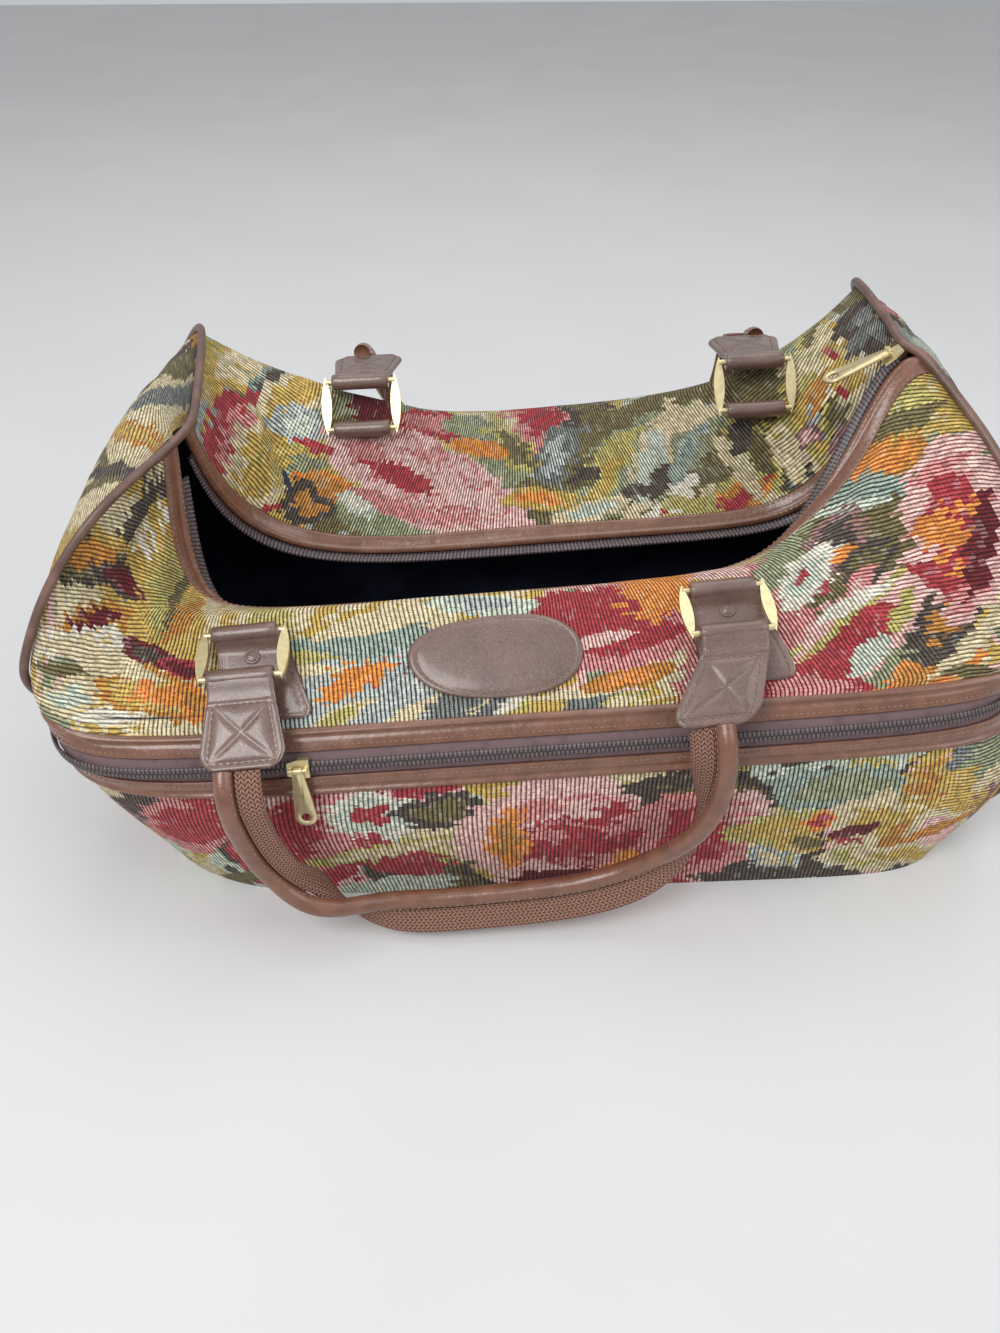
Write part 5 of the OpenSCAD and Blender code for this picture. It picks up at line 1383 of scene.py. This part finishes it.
class Patch:
    """Where a sewn patch lies on the cloth: a across from -1 to 1, and b down from the loop, from 0 to 1."""

    def __init__(self, seat, length, lean):
        self.g, self.v = np.array(seat[0]), np.array(seat[1])
        self.length, self.lean = length, lean
        self.climb = np.linalg.norm(upper_point(self.g, self.v) - upper_point(self.g, self.v - 0.5)) / 0.5

    def spot(self, a, b):
        """Place and normal on the cloth: it widens from the loop down and has round lower corners."""
        k = np.clip((b - CORNER_SHARE) / (1 - CORNER_SHARE), 0, 1)
        half = mix(LOOP_L, PATCH_W, b * self.length / PATCH_L) / 2
        half = half * mix(1, CORNER_WIDTH_SHARE, 1 - np.sqrt(1 - k**2))
        v = self.v - b * self.length / self.climb
        run = np.linalg.norm(upper_point(self.g + 0.01, v) - upper_point(self.g - 0.01, v), axis=-1) / 0.02
        g = self.g + (a * half + self.lean * b * self.length) / run
        return upper_point(g, v), upper_normal(g, v)


# Patches: shares of their edge and groove, where they rise to the loop, their seam and their rivet
PATCH_EDGE, PATCH_GROOVE, PATCH_GROOVE_W, PATCH_RISE = 0.09, 0.16, 0.05, 0.26
PATCH_SEAM_A, PATCH_SEAM_B, PATCH_SEAM_PITCH, RIVET_AT = 0.86, (0.3, 0.93), 3.6, 0.3
# Oval stem under a back loop: half length and half width as shares of the foot
STEM_SHARES, STEM_ROOT = (1.6, 0.35), 1.0
# Profile of a rivet's cap: radius and height
RIVET_R = np.array([4.5, 4.5, 4.2, 3.7, 3.3, 3.1, 2.4, 1.2])
RIVET_H = np.array([-0.4, 0.35, 0.8, 0.95, 0.8, 1.0, 1.35, 1.55])
RIVET_TIP, RIVET_SIDES = 0.1, 28


class BAG_OT_patches(bpy.types.Operator):
    """Sewn leather patches with their loops, and the rivets on the front ones"""
    bl_idname = "bag.patches"
    bl_label = "Patches"

    def execute(self, context):
        rivets = Shape()
        for key in HANDLES:
            handle = Handle(key)
            rows = zip((-1, 1), handle.seats, handle.patch_l, handle.patch_lean, handle.patch_h, handle.sides)
            for end, seat, length, lean, height, side in rows:
                patch = Patch(seat, length, lean)
                shape = Shape()
                if key == "front":
                    self.flap(shape, patch, height)
                else:
                    self.stem(shape, patch, height, handle.e)
                shape.grid(handle.loop_point(end, loop_roll()), close_u=True, close_v=True)
                shape.build(f"{key}_{side}_patch_leather", "leather", "leather", f"{key}_{side}_patch")
                if key == "front":
                    self.seams(patch, f"{key}_{side}")
                    self.rivet(rivets, patch)
        rivets.build("rivet_caps", "leather", "leather", "rivets")
        return {"FINISHED"}

    def flap(self, shape, patch, height):
        """Leather on the cloth: a rounded edge, a sewn groove beside it, and a rise up to the loop."""
        a, b = flat_grid(np.linspace(-1, 1, 29), np.linspace(1, 0, 33))
        p, n = patch.spot(a, b)
        edge = np.minimum(1 - np.abs(a), np.minimum((1 - b) * 1.6, 1.0))
        soft = np.sqrt(1 - (1 - np.clip(edge / PATCH_EDGE, 0, 1)) ** 2)
        rise = PATCH_LIFT + height * (0.35 + 0.65 * soft) - 0.5 * bell(edge - PATCH_GROOVE, PATCH_GROOVE_W)
        rise = rise + (LOOP_D - PATCH_T - 0.6) * (1 - ease(b / PATCH_RISE))
        shape.shell(p + n * rise[..., None], p + n * PATCH_LIFT * 0.5)

    def stem(self, shape, patch, height, along):
        """Oval leather stem from the cloth up to the loop."""
        foot, n = upper_point(patch.g, patch.v), upper_normal(patch.g, patch.v)
        c, s = (np.sign(k) * np.abs(k) ** 0.5 * FOOT_L for k in oval(2, -2, 24).T)
        section = c[:, None] * along * STEM_SHARES[0] + s[:, None] * unit(np.cross(n, along)) * STEM_SHARES[1]
        path = foot + n * np.linspace(-STEM_ROOT, PATCH_LIFT + height, 6)[:, None]
        shape.tube(path[:, None] + section)

    def seams(self, patch, name):
        """Stitches down both sides and along the foot."""
        seams = Shape()
        down, across = np.linspace(*PATCH_SEAM_B, 40), np.linspace(-PATCH_SEAM_A, PATCH_SEAM_A, 40)
        side, foot = np.full(40, PATCH_SEAM_A), np.full(40, PATCH_SEAM_B[1])
        for a, b in ((-side, down), (side, down), (across, foot)):
            p, n = patch.spot(a, b)
            stitch_row(seams, p + n * (PATCH_LIFT + PATCH_T * 0.85), n, PATCH_SEAM_PITCH)
        seams.build(f"{name}_patch_stitches", "leather", "thread")

    def rivet(self, rivets, patch):
        """Cap of a rivet: its profile turned about the normal of the cloth."""
        p, n = patch.spot(np.array(0.0), np.array(RIVET_AT * PATCH_L / patch.length))
        x = unit(np.cross(UP, n))
        around = oval(2, 2, RIVET_SIDES) @ np.stack([x, np.cross(n, x)])
        dome = p + n * (PATCH_LIFT + PATCH_T) + around[:, None] * RIVET_R[:, None] + RIVET_H[:, None] * n
        rivets.disc(dome, dome[:, 0].mean(0), dome[:, -1].mean(0) + n * RIVET_TIP)


# Section of a pull: set off from its hole (0) or from its rim (1), by how much, and the height there
PULL_PROFILE = (
    (0, 0.0, 0.4), (0, 0.25, 0.9), (0, 0.8, 0.95), (0, 1.1, 0.6), (1, 1.4, 0.6), (1, 1.1, 0.95),
    (1, 0.35, 0.9), (1, 0.0, 0.5), (1, 0.0, -0.5), (1, 0.3, -0.8), (0, 0.3, -0.8), (0, 0.0, -0.4),
)
PULL_STEPS, PULL_START, PULL_FLARE = 60, 0.6 - EYE_R, 0.7


class BAG_OT_brass(bpy.types.Operator):
    """Brass finish on the rings and sliders, and the two pulls with a raised rim round plate and hole"""
    bl_idname = "bag.brass"
    bl_label = "Brass"

    def execute(self, context):
        names = [f"{key}_{side}_ring" for key in HANDLES for side in ("left", "right")]
        for name in (*names, "zip_slider", "mouth_slider"):
            materials = frame["nodes"][name].data.materials
            materials.clear()
            materials.append(finish_of("brass"))
        rim, centre = self.outline()
        along = unit(np.roll(rim, -1, 0) - np.roll(rim, 1, 0))
        inward = np.stack([along[:, 1], -along[:, 0]], -1)
        spoke = unit(rim - centre)
        hole = PULL_W * PULL_HOLE_SHARE / 2
        rings = []
        for outer, inset, height in PULL_PROFILE:
            line = rim + inward * inset if outer else centre + spoke * (hole + inset)
            rings.append(np.column_stack([line, np.full(len(rim), height)]))
        hinges = {joint["name"]: joint for joint in frame["joints"]}
        for name in ("zip_pull", "mouth_pull"):
            pivot, axes = self.axes(name, hinges[f"{name}_hinge"])
            shape = Shape()
            eye = roll_rings(EYE_L, EYE_R, WIRE_D / 2 + BAR_ROOM, EYE_BEVEL)
            for part in (np.stack(rings, 1), eye):
                shape.grid(part @ axes + pivot, close_u=True, close_v=True)
            shape.build(f"{name}_brass", "brass", "brass", name, body=name)
        return {"FINISHED"}

    def outline(self):
        """Rim of a pull, flaring from its eye to a round end, and the middle of that end."""
        drop = np.linspace(PULL_START, PULL_L - PULL_W / 2, PULL_STEPS)
        half = mix(EYE_L, PULL_W, (np.clip(drop, 0, None) / drop[-1]) ** PULL_FLARE) / 2
        arc = np.linspace(0, math.pi, PULL_STEPS)[1:-1]
        side = np.stack([half, -drop], -1)
        end = np.stack([np.cos(arc) * PULL_W / 2, -np.sin(arc) * PULL_W / 2 - drop[-1]], -1)
        return np.concatenate([side, end, side[::-1] * [-1, 1]]), np.array([0, -drop[-1]])

    def axes(self, name, hinge):
        """Pivot of a pull, and its axes: along the hinge, up the pull and out of its face."""
        pivot, x = np.array(hinge["pos_m"]) / MM, unit(np.array(hinge["axis"]))
        mesh = frame["nodes"][name].data
        corners = np.empty(len(mesh.vertices) * 3, np.float32)
        mesh.vertices.foreach_get("co", corners)
        hang = corners.reshape(-1, 3).mean(0) / MM - pivot
        y = -unit(hang - x * (hang @ x))
        return pivot, np.stack([x, y, np.cross(x, y)])


# Quilted frame of a tab: its top, its foot, where its foot's width is taken, and its inset from the edge
QUILT_TOP, QUILT_LOW, QUILT_WIDE, QUILT_INSET, QUILT_PUFF = 15.0, 46.5, 40.0, 4.0, 1.6
TAB_EDGE, ROLL_REACH, QUILT_STEPS = 1.8, 12, 60


def tab_half(y):
    """Half width of a tab at the distance y from the bar: it widens from the roll and has round corners."""
    wide = mix(LOOP_L, TAB_W, np.clip((y - LOOP_D) / (TAB_L - TAB_CORNER - LOOP_D), 0, 1)) / 2
    drop = np.clip(y - (TAB_L - TAB_CORNER), 0, TAB_CORNER)
    return wide - TAB_CORNER + np.sqrt(np.maximum(TAB_CORNER**2 - drop**2, 0))


QUILT_HALF_TOP, QUILT_HALF_LOW = (tab_half(np.array(y)) - QUILT_INSET for y in (QUILT_TOP, QUILT_WIDE))


class BAG_OT_tabs(bpy.types.Operator):
    """Leather tabs of the handles: a roll round the ring and a stitched flap"""
    bl_idname = "bag.tabs"
    bl_label = "Tabs"

    def execute(self, context):
        a, b = flat_grid(np.linspace(-1, 1, 61), np.linspace(1, 0, 69))
        y = b * TAB_L
        x = a * tab_half(y)
        top, low = self.faces(x, y)
        for key in HANDLES:
            handle = Handle(key)
            for end, side, lean in zip((-1, 1), handle.sides, handle.leans):
                outer, inner = (self.leaned(handle, end, lean, x, y, z) for z in (top, low))
                shape = Shape()
                shape.shell(outer, inner)
                shape.grid(handle.tab_point(end, loop_roll()), close_u=True, close_v=True)
                name, body = f"{key}_{side}_tab", f"{key}_handle"
                shape.build(f"{name}_leather", "leather", "leather", name, body=body)
                seams = Shape()
                for line in self.seam_lines():
                    path, ahead = (self.leaned(handle, end, lean, *line, TAB_T / 2 + z) for z in (-0.5, 0.5))
                    stitch_row(seams, path, ahead - path)
                seams.build(f"{name}_stitches", "leather", "thread", body=body)
        return {"FINISHED"}

    def leaned(self, handle, end, lean, x, y, z):
        """Places on a tab that leans to one side below its roll."""
        x = x + lean * np.clip((y - LOOP_D) / (TAB_L - LOOP_D), 0, 1)
        return handle.tab_point(end, np.stack(np.broadcast_arrays(x, -y, z), -1))

    def faces(self, x, y):
        """Heights of both faces: round edges, leather puffed between the seams, and a rise to the roll."""
        edge = np.clip(np.minimum(tab_half(y) - np.abs(x), TAB_L - y) / TAB_EDGE, 0, 1)
        soft = 0.25 + 0.75 * np.sqrt(1 - (1 - edge) ** 2)
        k = np.clip((y - QUILT_TOP) / (QUILT_LOW - QUILT_TOP), 0, 1)
        half = mix(QUILT_HALF_TOP, QUILT_HALF_LOW, k)
        cross = np.abs(np.abs(x) / half - np.abs(2 * k - 1)) * 14
        ends = np.minimum(np.abs(y - QUILT_TOP), np.abs(y - QUILT_LOW))
        seam = np.minimum(np.abs(np.abs(x) - half), ends)
        inside = (np.abs(x) < half) & (y > QUILT_TOP) & (y < QUILT_LOW)
        seam = np.where(inside | (y > QUILT_TOP - 2), seam, 6)
        puff = np.where(inside, 1 - 0.6 * np.exp(-((cross / 2) ** 1.4)), 0.6)
        puff = QUILT_PUFF * (1 - np.exp(-seam / 2.6)) * puff
        roll = (1 - ease(y / ROLL_REACH)) * (LOOP_D / 2 - TAB_T / 2 - 0.6)
        return (TAB_T / 2 - 0.7 + puff) * soft + roll, -(TAB_T / 2 - 0.3) * soft

    def seam_lines(self):
        """The frame and the cross in it, as values of x and y."""
        k = np.linspace(0, 1, QUILT_STEPS)
        down = mix(QUILT_TOP, QUILT_LOW, k)
        level = [
            (mix(-half, half, k), np.full(QUILT_STEPS, y))
            for half, y in ((QUILT_HALF_TOP, QUILT_TOP), (QUILT_HALF_LOW, QUILT_LOW))
        ]
        slanted = [
            (mix(start * QUILT_HALF_TOP, stop * QUILT_HALF_LOW, k), down)
            for start, stop in ((-1, -1), (1, 1), (-1, 1), (1, -1))
        ]
        return level + slanted


# Straps: steps along them, the roll's seam groove and stitches, and the section of the webbing
STRAP_STEPS, STRAP_NUDGE, GRIP_SIDES, GRIP_GROOVE, GRIP_CAP = 301, 1 / 240, 32, 0.5, 0.6
GRIP_SEAMS, GRIP_SEAM_PITCH, GRIP_GROOVE_AT, GRIP_GROOVE_W = (2.45, -2.45), 3.6, 2.6, 0.16
WEBBING_X = np.array([-9, -8.8, -8, -5, -2.5, 0, 2.5, 5, 8, 8.8, 9]) * WEBBING_W / 18
WEBBING_Z = np.array([0.0, 1.1, 1.7, 1.95, 2, 2, 2, 1.95, 1.7, 1.1, 0.0]) * WEBBING_T / 4


class Strap:
    """The path of a handle: out of its tabs, over a bend and down in a U, with a twist along the way."""

    def __init__(self, handle):
        self.handle = handle
        q = np.linspace(0, 1, STRAP_STEPS)
        self.path, angle = self.place(q)
        ahead, behind = np.minimum(1, q + STRAP_NUDGE), np.maximum(0, q - STRAP_NUDGE)
        t = unit(self.place(ahead)[0] - self.place(behind)[0])
        n = np.stack([np.zeros_like(q), -np.sin(angle), np.cos(angle)], -1)
        side = unit(np.cross(n, t))
        face = np.cross(t, side)
        first, second = (ease((q - a) / (b - a)) for a, b in (TWIST_SHARES[:2], TWIST_SHARES[2:]))
        w = np.radians(mix(TWIST[0], TWIST[1], first) + (TWIST[2] - TWIST[1]) * second)[:, None]
        self.across, self.out = side * np.cos(w) + face * np.sin(w), face * np.cos(w) - side * np.sin(w)

    def place(self, q):
        """Places in the handle's frame at the shares q, and the angle of the fall there."""
        fall = self.handle.fall
        turn = math.pi * ease(q)
        c = np.cos(turn)
        b = mix(TAB_L + SEAM_GAP, HANDLE_DROP, np.sin(turn).clip(0) ** U_SHARE)
        right, left = self.handle.half + self.handle.leans[1], -self.handle.half - LEG_SPREAD
        a = mix(right, left, (1 + np.sign(c) * np.abs(c) ** U_SHARE) / 2)
        angle = np.minimum(math.pi / 2, fall + np.maximum(0, b - TAB_L) / BEND_R)
        straight = np.maximum(0, b - TAB_L - BEND_R * (math.pi / 2 - fall))
        start = np.minimum(b, TAB_L)
        out = -start * math.cos(fall) + BEND_R * (math.sin(fall) - np.sin(angle))
        up = -start * math.sin(fall) + BEND_R * (np.cos(angle) - math.cos(fall)) - straight
        return np.stack([a, out, up], -1), angle

    def sweep(self, shift, section):
        """A section carried along the path, moved to one side by shift."""
        x, z = shift + section[None, :, :1], section[None, :, 1:]
        rings = self.path[:, None] + x * self.across[:, None] + z * self.out[:, None]
        return self.handle.to_world(rings + self.handle.bar)


class BAG_OT_straps(bpy.types.Operator):
    """Handles: a leather roll beside a braided webbing, turning round each other"""
    bl_idname = "bag.straps"
    bl_label = "Straps"

    def execute(self, context):
        shift = ((GRIP_D + WEBBING_W) / 2 + SEAM_GAP) / 2
        for key in HANDLES:
            strap, body = Strap(Handle(key)), f"{key}_handle"
            shape = Shape()
            shape.tube(strap.sweep(shift, self.roll()), rise=GRIP_CAP)
            shape.build(f"{key}_grip_roll", "leather", "vinyl", f"{key}_grip", body=body)
            back = np.stack([WEBBING_X, -WEBBING_Z], -1)[-2:0:-1]
            section = np.concatenate([np.stack([WEBBING_X, WEBBING_Z], -1), back])
            around = length_of(np.concatenate([section, section[:1]]))
            shape = Shape()
            uv = np.stack(flat_grid(length_of(strap.path), around), -1)
            shape.tube(strap.sweep(-shift, section), uv=uv)
            shape.build(f"{key}_webbing_braid", "webbing", "braid", f"{key}_webbing", body=body)
            seams = Shape()
            for angle in GRIP_SEAMS:
                off = np.array([[math.cos(angle), math.sin(angle)]]) * GRIP_D / 2
                path, centre = (strap.sweep(shift, spot)[:, 0] for spot in (off, off * 0))
                stitch_row(seams, path, unit(path - centre), GRIP_SEAM_PITCH)
            seams.build(f"{key}_grip_stitches", "leather", "thread", body=body)
        return {"FINISHED"}

    def roll(self):
        """Section of the leather roll: round, with a groove along each of its two seams."""
        section = oval(2, -2, GRIP_SIDES)
        turn = -np.arange(GRIP_SIDES) / GRIP_SIDES * TURN
        off_seam = np.abs((turn + TURN / 2 + 0.5) % TURN - TURN / 2) - GRIP_GROOVE_AT
        return section * (GRIP_D / 2 - GRIP_GROOVE * bell(off_seam, GRIP_GROOVE_W))[:, None]


# Badge: its place on the front, profile from edge to middle, height over the cloth and stitches
BADGE_G, BADGE_V = np.array(0.480), np.array(1.77)
BADGE_R = np.array([1.0, 1.0, 0.995, 0.98, 0.95, 0.92, 0.895, 0.87, 0.8, 0.6, 0.4, 0.2, 0.04])
BADGE_H = np.array([0.3, 1.0, 1.6, 2.1, 2.35, 2.2, 1.95, 2.2, 2.5, 2.6, 2.6, 2.6, 2.6])
BADGE_LIFT, BADGE_SIDES, BADGE_SEAM_R, BADGE_SEAM_H, BADGE_SEAM_PITCH = 0.3, 96, 0.895, 2.3, 3.2


class BAG_OT_badge(bpy.types.Operator):
    """Oval leather badge, bare, sewn round its edge"""
    bl_idname = "bag.badge"
    bl_label = "Badge"

    def execute(self, context):
        shape = Shape()
        turn, r = flat_grid(np.arange(BADGE_SIDES) / BADGE_SIDES * TURN, BADGE_R)
        p, n = self.spot(r, turn)
        p = p + n * (BADGE_H + BADGE_LIFT)[:, None]
        shape.disc(p, p[:, 0].mean(0), p[:, -1].mean(0))
        shape.build("badge_leather", "leather", "leather", "badge")
        seams = Shape()
        p, n = self.spot(BADGE_SEAM_R, np.linspace(0, TURN, 200))
        stitch_row(seams, p + n * BADGE_SEAM_H, n, BADGE_SEAM_PITCH)
        seams.build("badge_stitches", "leather", "thread")
        return {"FINISHED"}

    def spot(self, r, turn):
        """Place and normal on the cloth at a share r of the oval, in the direction turn."""
        low, high = (upper_point(BADGE_G, BADGE_V + step) for step in (-0.3, 0.3))
        left, right = (upper_point(BADGE_G + step, BADGE_V) for step in (-0.01, 0.01))
        climb, run = np.linalg.norm(high - low) / 0.6, np.linalg.norm(right - left) / 0.02
        g = BADGE_G + r * np.cos(turn) * BADGE_L / 2 / run
        v = BADGE_V + r * np.sin(turn) * BADGE_W / 2 / climb
        return upper_point(g, v), upper_normal(g, v)


# Stage, in metres and watts: camera, floor, world and lamps with place, power and width
LENS, SENSOR, CLIP_START, CAMERA_AT, CAMERA_TURN = 27.0, 36.0, 0.01, (-0.039, -0.516, 0.507), (50, 0, -2.5)
FLOOR_HALF, FLOOR_TONES, WORLD_COLOUR, WORLD_STRENGTH = 4.0, (206, 216), (0.95, 0.97, 1.0, 1), 0.55
LAMPS = {
    "key": ((-0.9, -1.1, 1.7), 26.0, 1.1), "fill": ((1.3, -0.7, 1.3), 9.0, 1.2),
    "top": ((0.1, 0.7, 1.9), 10.0, 1.4),
}
LAMP_AIM = np.array([0, 0, 0.1])


class BAG_OT_stage(bpy.types.Operator):
    """Pale floor, soft lights and the camera"""
    bl_idname = "bag.stage"
    bl_label = "Stage"

    def execute(self, context):
        scene, link = context.scene, context.collection.objects.link
        camera = bpy.data.objects.new("camera", bpy.data.cameras.new("camera"))
        camera.data.lens, camera.data.sensor_width, camera.data.clip_start = LENS, SENSOR, CLIP_START
        camera.location = CAMERA_AT
        camera.rotation_euler = [math.radians(angle) for angle in CAMERA_TURN]
        link(camera)
        scene.camera = camera
        scene.view_settings.view_transform = "Standard"
        mesh = bpy.data.meshes.new("floor")
        corners = [(x * FLOOR_HALF, y * FLOOR_HALF, 0) for x, y in ((-1, -1), (1, -1), (1, 1), (-1, 1))]
        mesh.from_pydata(corners, [], [(0, 1, 2, 3)])
        floor = bpy.data.objects.new("floor", mesh)
        link(floor)
        f = Finish("floor_paper", Roughness=0.9, Specular_IOR_Level=0.1)
        dark, pale = (linear([tone] * 3).tolist() for tone in FLOOR_TONES)
        mesh.materials.append(f.feed(Base_Color=f.blend(dark, pale, f.noise(f.place(), 0.004, 3.0))))
        world = bpy.data.worlds.new("studio")
        world.use_nodes = True
        sky = world.node_tree.nodes["Background"].inputs
        sky["Color"].default_value, sky["Strength"].default_value = WORLD_COLOUR, WORLD_STRENGTH
        scene.world = world
        for name, (place, power, width) in LAMPS.items():
            lamp = bpy.data.objects.new(name, bpy.data.lights.new(name, "AREA"))
            lamp.data.energy, lamp.data.size = power, width
            lamp.location = place
            x, y, z = LAMP_AIM - place
            lamp.rotation_euler = (math.atan2(math.hypot(x, y), -z), 0, math.atan2(y, x) - math.pi / 2)
            link(lamp)
        return {"FINISHED"}


OPERATORS = (
    BAG_OT_stage, BAG_OT_tapestry, BAG_OT_lining, BAG_OT_piping, BAG_OT_mouth, BAG_OT_zip,
    BAG_OT_patches, BAG_OT_brass, BAG_OT_tabs, BAG_OT_straps, BAG_OT_badge,
)


class BAG_PT_panel(bpy.types.Panel):
    """Buttons for each group of pieces"""
    bl_idname = "BAG_PT_panel"
    bl_label = "Weekend bag"
    bl_space_type = "VIEW_3D"
    bl_region_type = "UI"
    bl_category = "Bag"

    def draw(self, context):
        for operator in OPERATORS:
            self.layout.operator(operator.bl_idname)
        for group in (context.scene.bag_sizes, context.scene.bag_colours):
            for key in group.__annotations__:
                self.layout.prop(group, key)


CLASSES = (Bag_Colours, Bag_Sizes, *OPERATORS, BAG_PT_panel)


def register():
    for cls in CLASSES:
        bpy.utils.register_class(cls)
    bpy.types.Scene.bag_colours = PointerProperty(type=Bag_Colours)
    bpy.types.Scene.bag_sizes = PointerProperty(type=Bag_Sizes)


def unregister():
    del bpy.types.Scene.bag_colours
    del bpy.types.Scene.bag_sizes
    for cls in reversed(CLASSES):
        bpy.utils.unregister_class(cls)


def main():
    """Makes every piece in order."""
    register()
    for operator in OPERATORS:
        group, name = operator.bl_idname.split(".")
        getattr(getattr(bpy.ops, group), name)()


if __name__ == "__main__":
    main()
